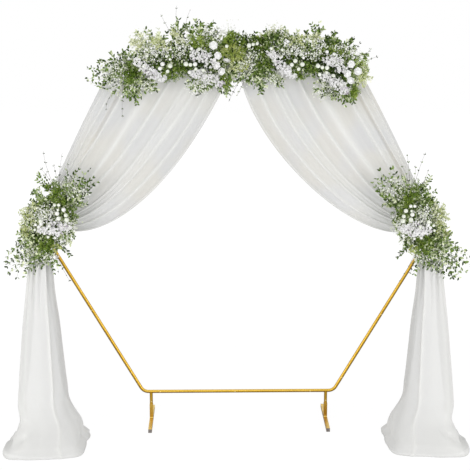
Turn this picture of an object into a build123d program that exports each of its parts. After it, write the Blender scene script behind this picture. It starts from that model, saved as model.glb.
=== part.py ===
"""A free-standing hexagonal wedding arch of gold tube, with two white drapes and four
arrangements of artificial flowers. Millimetres, +Z up, front towards -Y, origin on the floor
in the middle of the whole arch."""

import os
from math import cos, radians, sin, sqrt, tan

from build123d import *

# Hexagon frame
SIDE = 1100.0
TUBE_OD = 19.0
TUBE_WALL = 1.0
BEND_RADIUS = 50.0
ELBOW_LEG = 115.0
SPIGOT_LENGTH = 40.0
SPIGOT_WALL = 1.0
SPIGOT_CLEARANCE = 0.15
COLLAR_LENGTH = 4.0
SEAM_CHAMFER = 0.4
SCREW_SETBACK = 20.0
SCREW_DIAMETER = 4.0
SCREW_HEAD_DIAMETER = 7.0
SCREW_HEAD_HEIGHT = 2.2
SCREW_LENGTH = 5.0
SCREW_CLEARANCE = 0.1

# Feet
FOOT_BAR = 20.0
FOOT_WALL = 1.2
FOOT_LENGTH = 400.0
FOOT_INSET = 44.0
POST_HEIGHT = 82.0
POST_PLATE = 3.0
STUB_LENGTH = 74.5
STUB_OD = 18.0
FOOT_SPIGOT_LENGTH = 50.0
FOOT_SCREW_HEIGHT = 16.0
WELD_SIZE = 3.0
CAP_THICKNESS = 3.0
CAP_PLUG_LENGTH = 12.0
CAP_CLEARANCE = 0.2

# Drapes
CLOTH_GAP = 0.5
CLOTH_THICKNESS = 28.0
CLOTH_FOLD = 8.0
CLOTH_FLAP = 120.0
DRAPE_START = 20.0
DRAPE_OVERHANG = 120.0
NECK_WIDTH = 120.0
NECK_DEPTH = 70.0
NECK_RISE = 60.0
NECK_DROP = 30.0
NECK_CORNER = 20.0
SAG_HIGH = (400.0, 880.0)
SAG_LOW = (165.0, 105.0)
KNEE_DROP = 200.0
KNEE = (152.0, 120.0)
KNEE_SHIFT = (-6.0, -90.0)
ANKLE_HEIGHT = 170.0
ANKLE = (288.0, 230.0)
ANKLE_SHIFT = (-12.0, -265.0)
PUDDLE_HEIGHT = 55.0
PUDDLE_TOP = (380.0, 350.0)
PUDDLE_FLOOR = (430.0, 410.0)
PUDDLE_SHIFT = 12.0
PUDDLE_FRONT = 610.0
TAIL_ROUNDING = 0.42
TAIL_WALL = 45.0

# Tie bands and ties
BAND_HEIGHT = 25.0
BAND_THICKNESS = 2.0
TIE_WIDTH = 5.0
TIE_THICKNESS = 1.6

# Flower arrangements
STEM_RADIUS = 4.0
TWIG_RADIUS = 1.5
ROSE_RADIUS = 19.0
BUTTON_RADIUS = 11.0
BLOSSOM_SINK = 2.0
SWAG_CENTRE = (420.0, 22.0)
SWAG_STEM = 330.0
SWAG_SHIFT = 730.0
SWAG_TURN = -8.0
SWAG_TIES_LEFT = (-85.0, 280.0)
SWAG_TIES_RIGHT = (-150.0, 170.0)
BOUQUET_CENTRE = (34.0, 45.0)
BOUQUET_STEM = 300.0
BOUQUET_TURN = 47.0
LEAF_TAPER = 0.7

# Leaf clumps along a stem: place, rise, radius and how far they stand forward
SWAG_CLUMPS = [
    (-350.0, -50.0, 65.0, 70.0),
    (-250.0, -50.0, 105.0, 90.0),
    (-140.0, -15.0, 140.0, 105.0),
    (-20.0, 20.0, 140.0, 118.0),
    (90.0, 55.0, 135.0, 112.0),
    (120.0, 100.0, 100.0, 95.0),
    (215.0, 35.0, 165.0, 118.0),
    (330.0, 25.0, 140.0, 115.0),
    (370.0, 20.0, 85.0, 85.0),
]
BOUQUET_CLUMPS = [
    (-255.0, -10.0, 60.0, 55.0),
    (-180.0, -70.0, 95.0, 80.0),
    (-105.0, -50.0, 120.0, 95.0),
    (0.0, -30.0, 140.0, 118.0),
    (65.0, 35.0, 145.0, 118.0),
    (155.0, 50.0, 125.0, 105.0),
    (245.0, 75.0, 90.0, 80.0),
    (285.0, 10.0, 85.0, 80.0),
]

# Blossoms as place along the stem and rise, from the stem's middle
SWAG_ROSES = [(282.0, 108.0), (306.0, 53.0), (349.0, 26.0), (295.0, -1.0), (322.0, -33.0)]
SWAG_BUTTONS = [
    (33.0, 58.0), (9.0, 16.0), (51.0, 5.0), (-5.0, -6.0), (134.0, 16.0), (161.0, 10.0),
    (183.0, 18.0), (35.0, -22.0), (182.0, -11.0), (231.0, -17.0), (156.0, -27.0),
]
BOUQUET_ROSES = [(23.0, 38.0), (21.0, -15.0), (100.0, -64.0)]
BOUQUET_BUTTONS = [
    (147.0, 57.0), (165.0, 37.0), (164.0, 1.0), (124.0, 13.0), (149.0, -28.0), (109.0, -11.0),
    (133.0, -48.0),
]

# Bare twigs as start along the stem, then the tip's place and rise
SWAG_TWIGS = [(40.0, 125.0, 298.0), (20.0, 75.0, 285.0), (-120.0, -190.0, -280.0), (-250.0, -395.0, 0.0)]
BOUQUET_TWIGS = [(60.0, 314.0, 293.0), (60.0, 377.0, 211.0), (-150.0, -124.0, -315.0)]

BORE = TUBE_OD - 2 * TUBE_WALL
SPIGOT_OD = BORE - 2 * SPIGOT_CLEARANCE
RAIL_Z = FOOT_BAR + POST_HEIGHT + STUB_LENGTH
MIDDLE_Z = RAIL_Z + SIDE * sqrt(3) / 2
PLANE_Y = (PUDDLE_FRONT - FOOT_LENGTH / 2) / 2
CORNER_NAMES = ["left", "bottom_left", "bottom_right", "right", "top_right", "top_left"]
TUBE_NAMES = [
    ("lower_left_tube_upper", "lower_left_tube_lower"),
    ("bottom_rail_left", "bottom_rail_right"),
    ("lower_right_tube_lower", "lower_right_tube_upper"),
    ("upper_right_tube_lower", "upper_right_tube_upper"),
    ("top_rail_right", "top_rail_left"),
    ("upper_left_tube_upper", "upper_left_tube_lower"),
]


def corner(index):
    """Where two centre lines of the hexagon meet, counted from the left corner by the bottom."""
    angle = radians(180 + 60 * (index % 6))
    return Vector(SIDE * cos(angle), PLANE_Y, MIDDLE_Z + SIDE * sin(angle))


def toward(start, end):
    """The direction from one point to another."""
    return (end - start).normalized()


def rod(start, end, radius):
    """A round bar between two points."""
    direction = end - start
    return Solid.make_cylinder(radius, direction.length, Plane(origin=start, z_dir=direction))


def block(low, high):
    """A box between two corners."""
    size = [top - bottom for bottom, top in zip(low, high)]
    middle = [(top + bottom) / 2 for bottom, top in zip(low, high)]
    return Pos(*middle) * Box(*size)


def screw_points():
    """The seat of each joint's screw, on the front of the outer tube of each joint."""
    points = []
    for index in range(6):
        start, end = corner(index), corner(index + 1)
        along = toward(start, end)
        for seam in (ELBOW_LEG, SIDE / 2, SIDE - ELBOW_LEG):
            points.append(start + along * (seam - SCREW_SETBACK) - Vector(0, TUBE_OD / 2, 0))
    return points


def foot_screw_points():
    """The seat of each foot's screw, on the front of its stub."""
    height = FOOT_BAR + POST_HEIGHT + FOOT_SCREW_HEIGHT
    return [Vector(x, PLANE_Y - STUB_OD / 2, height) for x in foot_places()]


def foot_places():
    """The feet's distances from the middle, left and right."""
    return (-(SIDE / 2 - FOOT_INSET), SIDE / 2 - FOOT_INSET)


def screw_holes(points):
    """The holes that the screws pass through, a little wider than their threads."""
    radius = SCREW_DIAMETER / 2 + SCREW_CLEARANCE
    reach = Vector(0, TUBE_OD / 2, 0)
    return [rod(point - Vector(0, 1, 0), point + reach, radius) for point in points]


def screw(point):
    """A pan-head screw whose head sits on the tube at a point."""
    head_back = point - Vector(0, SCREW_HEAD_HEIGHT, 0)
    head = rod(point, head_back, SCREW_HEAD_DIAMETER / 2)
    head = fillet(head.edges().group_by(Axis.Y)[0], SCREW_HEAD_HEIGHT * 0.6)
    return head + rod(point, point + Vector(0, SCREW_LENGTH, 0), SCREW_DIAMETER / 2)


def tube(start, end, male, seams=(True, True)):
    """A round tube between two points, chamfered where it ends in a seam; a male one has a
    reduced end that enters its neighbour."""
    run = (end - start).length
    outer, bore, spigot = TUBE_OD / 2, BORE / 2, SPIGOT_OD / 2
    profile = [(outer - SEAM_CHAMFER, 0), (outer, SEAM_CHAMFER)] if seams[0] else [(outer, 0)]
    profile += [(outer, run - SEAM_CHAMFER), (outer - SEAM_CHAMFER, run)] if seams[1] else [(outer, run)]
    profile += [(bore, run)]
    if male:
        inside = spigot - SPIGOT_WALL
        profile += [(bore, COLLAR_LENGTH), (inside, COLLAR_LENGTH)]
        profile += [(inside, -SPIGOT_LENGTH), (spigot, -SPIGOT_LENGTH), (spigot, 0)]
    else:
        profile += [(bore, 0)]
    face = make_face(Polyline([(r, 0, s) for r, s in profile], close=True))
    shape = revolve(face, axis=Axis.Z)
    place = Plane(origin=start, x_dir=(0, 1, 0), z_dir=end - start)
    return place.location * shape


def arc_tube(before, at, after):
    """The bent middle of an elbow, a ring segment between its two straight legs."""
    inward, outward = toward(at, before), toward(at, after)
    tangent = BEND_RADIUS * tan(radians(30))
    start = at + inward * tangent
    path_centre = at + (inward + outward).normalized() * (BEND_RADIUS / cos(radians(30)))
    ring = Plane(origin=start, z_dir=inward * -1) * (Circle(TUBE_OD / 2) - Circle(BORE / 2))
    turn = (inward * -1).cross(outward).normalized()
    return revolve(ring, axis=Axis(path_centre, turn), revolution_arc=60)


def elbow(index):
    """One corner of the hexagon: a bend with two straight legs, and a foot stub on a bottom one."""
    before, at, after = corner(index - 1), corner(index), corner(index + 1)
    tangent = BEND_RADIUS * tan(radians(30))
    first, second = toward(at, before), toward(at, after)
    leg_in = tube(at + first * ELBOW_LEG, at + first * tangent, True, seams=(True, False))
    leg_out = tube(at + second * tangent, at + second * ELBOW_LEG, False, seams=(False, True))
    shape = leg_in + arc_tube(before, at, after) + leg_out
    name = CORNER_NAMES[index]
    if name.startswith("bottom"):
        shape = with_stub(shape, foot_places()[name.endswith("right")])
    return shape


def with_stub(shape, x):
    """A bottom elbow with the short tube welded under its rail leg, for a foot's post."""
    top = Vector(x, PLANE_Y, RAIL_Z)
    bottom = top - Vector(0, 0, STUB_LENGTH)
    underside = top - Vector(0, 0, TUBE_OD / 2 + TUBE_WALL)
    reach = Vector(TUBE_OD / 2 + TUBE_WALL, 0, 0)
    shape = shape + rod(bottom, top, STUB_OD / 2)
    shape = shape - rod(top - reach, top + reach, BORE / 2)
    return shape - rod(bottom, underside, STUB_OD / 2 - TUBE_WALL)


def drilled(shape, holes):
    """A tube with the holes of the screws that reach it."""
    near = [hole for hole in holes if shape.bounding_box().overlaps(hole.bounding_box())]
    for hole in near:
        shape = shape - hole
    return shape


def frame_pieces():
    """The elbows and straight tubes of the hexagon, by name."""
    pieces = {}
    for index in range(6):
        pieces[CORNER_NAMES[index] + "_elbow"] = elbow(index)
        start, end = corner(index), corner(index + 1)
        along = toward(start, end)
        seams = [start + along * ELBOW_LEG, start + along * (SIDE / 2), end - along * ELBOW_LEG]
        for name, near, far in zip(TUBE_NAMES[index], seams[:-1], seams[1:]):
            pieces[name] = tube(near, far, male=True)
    return pieces


def square_tube(length, wall_to):
    """An upright square tube standing on its origin."""
    outer = Pos(0, 0, length / 2) * Box(FOOT_BAR, FOOT_BAR, length)
    inner = Pos(0, 0, length / 2) * Box(wall_to, wall_to, length)
    return outer - inner


def foot_bar(x):
    """The square bar on the floor that keeps the arch from tipping, open at its ends."""
    length = FOOT_LENGTH - 2 * CAP_THICKNESS
    bar = square_tube(length, FOOT_BAR - 2 * FOOT_WALL)
    return Pos(x, PLANE_Y + length / 2, FOOT_BAR / 2) * Rot(90, 0, 0) * bar


def foot_post(x):
    """The square post welded on the bar, with a plate and a round spigot for the stub."""
    post = Pos(0, 0, FOOT_BAR) * square_tube(POST_HEIGHT, FOOT_BAR - 2 * FOOT_WALL)
    top = FOOT_BAR + POST_HEIGHT
    plate = Pos(0, 0, top - POST_PLATE / 2) * Box(FOOT_BAR, FOOT_BAR, POST_PLATE)
    low, high = Vector(0, 0, top), Vector(0, 0, top + FOOT_SPIGOT_LENGTH)
    radius = STUB_OD / 2 - TUBE_WALL - SPIGOT_CLEARANCE
    spigot = rod(low, high, radius) - rod(low, high, radius - SPIGOT_WALL)
    half = FOOT_BAR / 2
    toe, throat = (0, half + WELD_SIZE, FOOT_BAR), (0, half, FOOT_BAR + WELD_SIZE)
    bead = make_face(Polyline([(0, half, FOOT_BAR), toe, throat], close=True))
    front = extrude(bead, amount=half, dir=(1, 0, 0), both=True)
    shape = post + plate + spigot + front + mirror(front, about=Plane.XZ)
    return Pos(x, PLANE_Y, 0) * shape


def foot_caps(x):
    """The grey plastic plugs in both ends of a foot bar."""
    inside = FOOT_BAR - 2 * FOOT_WALL - 2 * CAP_CLEARANCE
    cap = Pos(0, 0, CAP_THICKNESS / 2) * Box(FOOT_BAR, FOOT_BAR, CAP_THICKNESS)
    cap = fillet(cap.edges().group_by(Axis.Z)[0], 1.0)
    cap = cap + Pos(0, 0, CAP_THICKNESS + CAP_PLUG_LENGTH / 2) * Box(inside, inside, CAP_PLUG_LENGTH)
    front = Pos(x, PLANE_Y - FOOT_LENGTH / 2, FOOT_BAR / 2) * Rot(-90, 0, 0) * cap
    back = Pos(x, PLANE_Y + FOOT_LENGTH / 2, FOOT_BAR / 2) * Rot(90, 0, 0) * cap
    return [front, back]


def cloth_back():
    """How far in front of the frame's plane the hanging cloth starts, clear of screw heads."""
    return TUBE_OD / 2 + SCREW_HEAD_HEIGHT + CLOTH_GAP


def cloth_front():
    """How far in front of the frame's plane the hanging cloth ends."""
    return cloth_back() + CLOTH_THICKNESS


def neck_front():
    """How far in front of the frame's plane the gathered cloth ends."""
    return cloth_back() + NECK_DEPTH


def drape_swag():
    """The left drape from the top rail down to where it is gathered at the corner."""
    knot, top = corner(0), corner(5)
    high = top.Z + TUBE_OD / 2 + CLOTH_FOLD
    inner_top = Vector(-DRAPE_START, 0, high)
    outer_top = Vector(top.X - DRAPE_OVERHANG, 0, high)
    inner_low = Vector(knot.X + NECK_WIDTH / 2, 0, knot.Z + NECK_DROP)
    outer_low = Vector(knot.X - NECK_WIDTH / 2, 0, knot.Z + NECK_RISE)
    outer_foot = Vector(outer_low.X, 0, inner_low.Z)
    sag = Bezier(
        inner_top,
        inner_top - Vector(SAG_HIGH[0], 0, SAG_HIGH[1]),
        inner_low + Vector(SAG_LOW[0], 0, -SAG_LOW[1]),
        inner_low,
    )
    rest = Polyline([inner_low, outer_foot, outer_low, outer_top, inner_top])
    sheet = extrude(make_face(sag.edges() + rest.edges()), amount=CLOTH_THICKNESS, dir=(0, -1, 0))
    sheet = Pos(0, PLANE_Y - cloth_back(), 0) * sheet
    bend = BEND_RADIUS * tan(radians(30))
    rail_top = top.Z + TUBE_OD / 2
    flap_front = PLANE_Y + TUBE_OD / 2 + CLOTH_GAP
    fold_ends = (top.X + bend, -DRAPE_START)
    fold = block(
        (fold_ends[0], PLANE_Y - cloth_front(), rail_top),
        (fold_ends[1], flap_front + CLOTH_FOLD, high),
    )
    flap = block(
        (fold_ends[0], flap_front, rail_top - CLOTH_FLAP),
        (fold_ends[1], flap_front + CLOTH_FOLD, high),
    )
    return sheet + fold + flap + drape_neck()


def drape_neck():
    """The gathered cloth in front of the corner, under the tie band."""
    knot = corner(0)
    height = NECK_RISE + NECK_DROP
    neck = RectangleRounded(NECK_WIDTH, NECK_DEPTH, NECK_CORNER)
    neck = extrude(neck, amount=height)
    return Pos(knot.X, PLANE_Y - cloth_back() - NECK_DEPTH / 2, knot.Z - NECK_DROP) * neck


def tail_sections():
    """The falling cloth as level outlines: height, sideways, back, front and width."""
    back, front = -cloth_back(), -neck_front()
    sections = [(corner(0).Z - NECK_DROP, 0.0, back, front, NECK_WIDTH)]
    for height, (sideways, forward), (width, depth) in (
        (corner(0).Z - NECK_DROP - KNEE_DROP, KNEE_SHIFT, KNEE),
        (ANKLE_HEIGHT, ANKLE_SHIFT, ANKLE),
        (PUDDLE_HEIGHT, (PUDDLE_SHIFT, PUDDLE_FLOOR[1] / 2 - PUDDLE_FRONT), PUDDLE_TOP),
        (0.0, (PUDDLE_SHIFT, PUDDLE_FLOOR[1] / 2 - PUDDLE_FRONT), PUDDLE_FLOOR),
    ):
        sections.append((height, sideways, forward + depth / 2, forward - depth / 2, width))
    return sections


def column(sections):
    """A column lofted through level outlines with rounded corners."""
    faces = []
    for height, sideways, back, front, width in sections:
        depth = back - front
        outline = RectangleRounded(width, depth, TAIL_ROUNDING * min(width, depth))
        faces.append(Pos(corner(0).X + sideways, PLANE_Y + (back + front) / 2, height) * outline)
    return loft(faces, ruled=True)


def drape_tail():
    """The left drape from the gather down to the cloth that lies on the floor. Below the knee its
    two edges spread apart, so the fall is open at the back."""
    sections = tail_sections()
    hollow = [
        (height, sideways, back + TAIL_WALL, front + TAIL_WALL, width - 2 * TAIL_WALL)
        for height, sideways, back, front, width in sections[1:]
    ]
    return column(sections) - column(hollow)


def tie_band():
    """The ribbon that binds the left corner, the gathered cloth and the bouquet's stem."""
    knot = corner(0)
    back = TUBE_OD / 2
    front = -(neck_front() + 2 * STEM_RADIUS)
    depth = back - front
    outer = RectangleRounded(NECK_WIDTH + 2 * BAND_THICKNESS, depth + 2 * BAND_THICKNESS, NECK_CORNER)
    inner = RectangleRounded(NECK_WIDTH, depth, NECK_CORNER - BAND_THICKNESS)
    ring = extrude(outer - inner, amount=BAND_HEIGHT / 2, both=True)
    return Pos(knot.X, PLANE_Y + (back + front) / 2, knot.Z) * ring


def band_room():
    """The space that the left tie band and what it binds take up."""
    knot = corner(0)
    half = NECK_WIDTH / 2 + BAND_THICKNESS
    front = PLANE_Y - neck_front() - 2 * STEM_RADIUS - BAND_THICKNESS
    low = (knot.X - half, front, knot.Z - BAND_HEIGHT / 2)
    return block(low, (knot.X + half, PLANE_Y, knot.Z + BAND_HEIGHT / 2))


class Arrangement:
    """A spray of artificial flowers on one stem, in its own place, rise and forward lengths."""

    def __init__(self, middle, turn, stem_front, stem_half, clumps, roses, buttons, twigs):
        self.middle = middle
        self.turn = radians(turn)
        self.stem_front = stem_front
        self.stem_half = stem_half
        self.clumps = clumps
        self.roses = roses
        self.buttons = buttons
        self.twigs = twigs
        self.leaf_back = stem_front + 2 * STEM_RADIUS

    def at(self, place, rise, forward):
        """A point of the arrangement in the arch's own frame."""
        x = self.middle[0] + place * cos(self.turn) - rise * sin(self.turn)
        z = self.middle[1] + place * sin(self.turn) + rise * cos(self.turn)
        return Vector(x, PLANE_Y - forward, z)

    def stem(self):
        """The main stem with its bare twigs, in front of the cloth."""
        forward = self.stem_front + STEM_RADIUS
        shape = rod(self.at(-self.stem_half, 0, forward), self.at(self.stem_half, 0, forward), STEM_RADIUS)
        for start, place, rise in self.twigs:
            shape = shape + rod(self.at(start, 0, forward), self.at(place, rise, forward), TWIG_RADIUS)
        return shape

    def depth_at(self, place, rise):
        """How far the leaves stand forward at a place, on the flat or tapered front of a clump."""
        depths = []
        for clump_place, clump_rise, radius, depth in self.clumps:
            share = sqrt((place - clump_place) ** 2 + (rise - clump_rise) ** 2) / radius
            slope = (1 - share) / (1 - LEAF_TAPER)
            depths.append(depth * max(0.0, min(1.0, slope)))
        return max(depths)

    def blossoms(self):
        """Roses and button flowers, as balls half sunk in the leaves."""
        shapes = []
        for places, radius in ((self.roses, ROSE_RADIUS), (self.buttons, BUTTON_RADIUS)):
            for place, rise in places:
                forward = self.leaf_back + self.depth_at(place, rise) - BLOSSOM_SINK
                shapes.append(Pos(self.at(place, rise, forward)) * Sphere(radius))
        return shapes

    def leaf_mass(self):
        """The outer shape of all the leaves: clumps that narrow towards the front, side by side."""
        shape = None
        for place, rise, radius, depth in self.clumps:
            plane = Plane(origin=self.at(place, rise, self.leaf_back), z_dir=(0, -1, 0))
            clump = Solid.make_cone(radius, radius * LEAF_TAPER, depth, plane)
            shape = clump if shape is None else shape + clump
        return shape


def cut(shape, tools):
    """A shape with the room that other pieces take up removed."""
    for tool in tools:
        shape = shape - tool
    return shape


def solids_of(shape):
    """Every solid of a shape or of a list of shapes."""
    if isinstance(shape, (list, tuple)):
        return [solid for one in shape for solid in one.solids()]
    return list(shape.solids())


def swag_tie(arrangement, place):
    """A strap loop that holds a top arrangement's stem and the cloth to the rail."""
    stem = arrangement.at(place, 0, arrangement.stem_front + STEM_RADIUS)
    rail = corner(5).Z
    room = STEM_RADIUS + TIE_WIDTH * abs(sin(arrangement.turn))
    low = min(rail - TUBE_OD / 2, stem.Z - room)
    high = max(rail + TUBE_OD / 2 + CLOTH_FOLD, stem.Z + room)
    back = PLANE_Y + TUBE_OD / 2 + CLOTH_GAP + CLOTH_FOLD
    front = PLANE_Y - arrangement.stem_front - 2 * STEM_RADIUS
    half = TIE_WIDTH / 2
    inside = block((stem.X - 2 * half, front, low), (stem.X + 2 * half, back, high))
    grown = TIE_THICKNESS
    outside = block(
        (stem.X - half, front - grown, low - grown), (stem.X + half, back + grown, high + grown)
    )
    return outside - inside


def mirrored(shape):
    """The right-hand copy of a left-hand shape."""
    return mirror(shape, about=Plane.YZ)


def build():
    """Every node of the arch, by name."""
    nodes = frame_pieces()
    seats = screw_points() + foot_screw_points()
    holes = screw_holes(seats)
    for side, x in zip(("left", "right"), foot_places()):
        nodes[side + "_foot_post"] = foot_post(x)
    for name in list(nodes):
        nodes[name] = drilled(nodes[name], holes)
    nodes["joint_screws"] = [screw(point) for point in seats]
    for side, x in zip(("left", "right"), foot_places()):
        nodes[side + "_foot_bar"] = foot_bar(x)
        nodes[side + "_foot_caps"] = foot_caps(x)

    rail, knot = corner(5).Z, corner(0)
    swag_middle = (-SWAG_CENTRE[0], rail - SWAG_CENTRE[1])
    shifted_middle = (swag_middle[0] + SWAG_SHIFT, swag_middle[1])
    swag_kit = (SWAG_STEM, SWAG_CLUMPS, SWAG_ROSES, SWAG_BUTTONS, SWAG_TWIGS)
    top_left = Arrangement(swag_middle, 0.0, cloth_front(), *swag_kit)
    top_right = Arrangement(shifted_middle, SWAG_TURN, cloth_front(), *swag_kit)
    bouquet = Arrangement(
        (knot.X + BOUQUET_CENTRE[0], knot.Z + BOUQUET_CENTRE[1]),
        BOUQUET_TURN, neck_front(), BOUQUET_STEM, BOUQUET_CLUMPS, BOUQUET_ROSES,
        BOUQUET_BUTTONS, BOUQUET_TWIGS,
    )
    ties_left = [swag_tie(top_left, place) for place in SWAG_TIES_LEFT]
    ties_right = [swag_tie(top_right, place) for place in SWAG_TIES_RIGHT]
    nodes["top_left_ties"] = ties_left
    nodes["top_right_ties"] = ties_right

    left_swag = drape_swag()
    band = tie_band()
    bouquet_stem = cut(bouquet.stem(), [left_swag])
    nodes["left_drape_tail"] = cut(drape_tail(), [bouquet_stem])
    nodes["right_drape_tail"] = mirrored(nodes["left_drape_tail"])
    nodes["left_tie_band"] = band
    nodes["right_tie_band"] = mirrored(band)
    nodes["left_drape_swag"] = cut(left_swag, ties_left)
    nodes["right_drape_swag"] = cut(mirrored(left_swag), ties_right)

    taken = [nodes["left_drape_swag"], nodes["right_drape_swag"]]
    for name, kit, ties in (("top_left", top_left, ties_left), ("top_right", top_right, ties_right)):
        stem = nodes[name + "_stem"] = largest(cut(kit.stem(), taken))
        blossoms = nodes[name + "_blossoms"] = cut_each(kit.blossoms(), ties)
        leaves = largest(cut(kit.leaf_mass(), blossoms + ties + taken))
        nodes[name + "_leaves"] = leaves
        taken = taken + [stem, leaves] + blossoms

    blossoms = cut_each(bouquet.blossoms(), [band])
    leaves = cut(bouquet.leaf_mass(), [band_room(), nodes["left_drape_tail"]] + blossoms)
    leaves = largest(leaves)
    for side in ("left", "right"):
        place = (lambda shape: shape) if side == "left" else mirrored
        nodes[side + "_bouquet_stem"] = place(bouquet_stem)
        nodes[side + "_bouquet_blossoms"] = [place(shape) for shape in blossoms]
        nodes[side + "_bouquet_leaves"] = place(leaves)
    return nodes


def cut_each(shapes, tools):
    """Each of several shapes with the tools' room removed."""
    return [cut(shape, tools) for shape in shapes]


def largest(shape):
    """The largest solid of a cut shape, without slivers."""
    return max(shape.solids(), key=lambda solid: solid.volume)


def write(nodes):
    """One STEP file for each node."""
    os.makedirs("parts", exist_ok=True)
    for name, shape in nodes.items():
        solids = solids_of(shape)
        model = solids[0] if len(solids) == 1 else Compound(children=solids)
        export_step(model, f"parts/{name}.step")


write(build())
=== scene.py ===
"""The wedding arch, dressed piece by piece in the order it is put together: the gold hexagon and
its feet, the two drapes and what ties them, then the four arrangements of artificial flowers."""

import math

import bpy
import numpy as np
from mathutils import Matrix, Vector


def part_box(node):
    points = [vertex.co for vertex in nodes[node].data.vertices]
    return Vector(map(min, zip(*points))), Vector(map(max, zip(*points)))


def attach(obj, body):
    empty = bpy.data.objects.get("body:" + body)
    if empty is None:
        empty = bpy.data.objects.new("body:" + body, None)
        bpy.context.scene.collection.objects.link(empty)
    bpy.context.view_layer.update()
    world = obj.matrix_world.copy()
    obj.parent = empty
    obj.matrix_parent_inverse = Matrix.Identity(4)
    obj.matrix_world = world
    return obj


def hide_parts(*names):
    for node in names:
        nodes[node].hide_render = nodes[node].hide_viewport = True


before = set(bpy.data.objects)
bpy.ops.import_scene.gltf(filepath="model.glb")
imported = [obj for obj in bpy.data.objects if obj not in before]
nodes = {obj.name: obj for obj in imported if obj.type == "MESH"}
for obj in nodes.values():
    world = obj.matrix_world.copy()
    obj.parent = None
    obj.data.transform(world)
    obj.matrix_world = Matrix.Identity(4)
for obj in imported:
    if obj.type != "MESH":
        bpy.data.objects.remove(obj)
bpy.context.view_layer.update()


# The hexagon: eighteen lengths of thin round steel tube, six of them bent to an elbow. Each is
# pushed into the next by a swaged end, then the whole is sprayed with gold paint, which is painted
# pale along the top and brown underneath as painted light and shade from in front and above.

# The tubes' gold as lit, middle and shaded tones of painted light and shade, and the side it is painted lit
# from: in front and above.
TUBE_GOLD = (0.73, 0.475, 0.070, 1), (0.51, 0.290, 0.014, 1), (0.19, 0.10, 0.006, 1)
PAINTED_LIGHT_SIDE = (0.0, -0.60, 0.80)
SPRAY_DRIFT = 9.0
ORANGE_PEEL = 420.0


class Value:
    """A shader socket that can be used in sums: each sign adds one Math node."""

    def __init__(self, finish, socket):
        self.finish = finish
        self.socket = socket

    def maths(self, operation, first, second):
        return self.finish.add("ShaderNodeMath", {"operation": operation}, {0: first, 1: second})

    def __add__(self, other):
        return self.maths("ADD", self, other)

    def __radd__(self, other):
        return self.maths("ADD", other, self)

    def __sub__(self, other):
        return self.maths("SUBTRACT", self, other)

    def __rsub__(self, other):
        return self.maths("SUBTRACT", other, self)

    def __mul__(self, other):
        return self.maths("MULTIPLY", self, other)

    def __rmul__(self, other):
        return self.maths("MULTIPLY", other, self)


class Finish:
    """One named material around a Principled shader, with a single way to add any other node."""

    def __init__(self, name, **constants):
        self.material = bpy.data.materials.new(name)
        self.material.use_nodes = True
        self.tree = self.material.node_tree
        self.shader = self.tree.nodes["Principled BSDF"]
        self.put(self.shader, {key.replace("_", " "): value for key, value in constants.items()})

    def put(self, node, sockets):
        """Fills a node's sockets with constants or with links."""
        for key, value in sockets.items():
            if isinstance(value, Value):
                self.tree.links.new(value.socket, node.inputs[key])
            else:
                node.inputs[key].default_value = value

    def add(self, kind, settings=None, sockets=None, output=0):
        """A new node: its settings first, a ramp's stops among them, then its sockets."""
        node = self.tree.nodes.new(kind)
        for key, value in (settings or {}).items():
            if key == "stops":
                ramp = node.color_ramp.elements
                for index, (place, colour) in enumerate(value):
                    stop = ramp[index] if index < 2 else ramp.new(place)
                    stop.position = place
                    stop.color = colour
            else:
                setattr(node, key, value)
        self.put(node, sockets or {})
        return Value(self, node.outputs[output])

    def mark(self, name):
        """A number that the mesh carries at each of its points."""
        return self.add("ShaderNodeAttribute", {"attribute_name": name}, output="Fac")

    def stretch(self, value, low, high, first=0.0):
        """A value stretched so that low gives first and high gives 1, and held there beyond them."""
        sockets = {"Value": value, "From Min": low, "From Max": high, "To Min": first}
        return self.add("ShaderNodeMapRange", {}, sockets)

    def place(self, *scale):
        """Object coordinates, stretched by a scale along each axis."""
        where = self.add("ShaderNodeTexCoord", output="Object")
        if not scale:
            return where
        return self.add("ShaderNodeMapping", {}, {"Vector": where, "Scale": scale})

    def noise(self, scale, detail=3.0, where=None):
        """A soft noise between 0 and 1."""
        where = where or self.place()
        return self.add("ShaderNodeTexNoise", {}, {"Vector": where, "Scale": scale, "Detail": detail})

    def ramp(self, value, *stops):
        """A value turned into a colour by a ramp."""
        return self.add("ShaderNodeValToRGB", {"stops": stops}, {"Fac": value})

    def blend(self, factor, first, second):
        """Two colours mixed by a factor."""
        return self.add("ShaderNodeMix", {"data_type": "RGBA"}, {0: factor, 6: first, 7: second}, 2)

    def bump(self, height, distance, strength=0.5):
        """A bump from a height."""
        sockets = {"Height": height, "Distance": distance, "Strength": strength}
        self.put(self.shader, {"Normal": self.add("ShaderNodeBump", {}, sockets)})

    def paint(self, **sockets):
        """Links for the Principled shader's own sockets."""
        self.put(self.shader, {key.replace("_", " "): value for key, value in sockets.items()})
        return self.material


def gold_paint(name, light, middle, deep):
    """Sprayed gold: metallic lacquer with painted light and shade, the light tone where the surface
    faces up and to the front and the deep brown underneath, drifting between the two and faintly
    orange-peeled."""
    finish = Finish(name, Metallic=0.80, Coat_Weight=0.10, Coat_Roughness=0.2)
    drift = finish.noise(SPRAY_DRIFT, 4.0)
    peel = finish.noise(ORANGE_PEEL, 1.0)
    # Painted light and shade: the colour runs from the deep tone to the light one as the surface turns
    # towards the painted light's side, plus the spray's random drift.
    towards = finish.add("ShaderNodeNewGeometry", output="Normal")
    product = {"operation": "DOT_PRODUCT"}
    facing = finish.add("ShaderNodeVectorMath", product, {0: towards, 1: PAINTED_LIGHT_SIDE}, "Value")
    thickness = facing * 0.6 + 0.3 + drift * 0.3
    tone = finish.ramp(thickness, (0.46, deep), (1.0, light), (0.78, middle))
    finish.bump(peel, 0.0002, 0.25)
    return finish.paint(Base_Color=tone, Roughness=0.26 + drift * 0.16)


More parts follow.
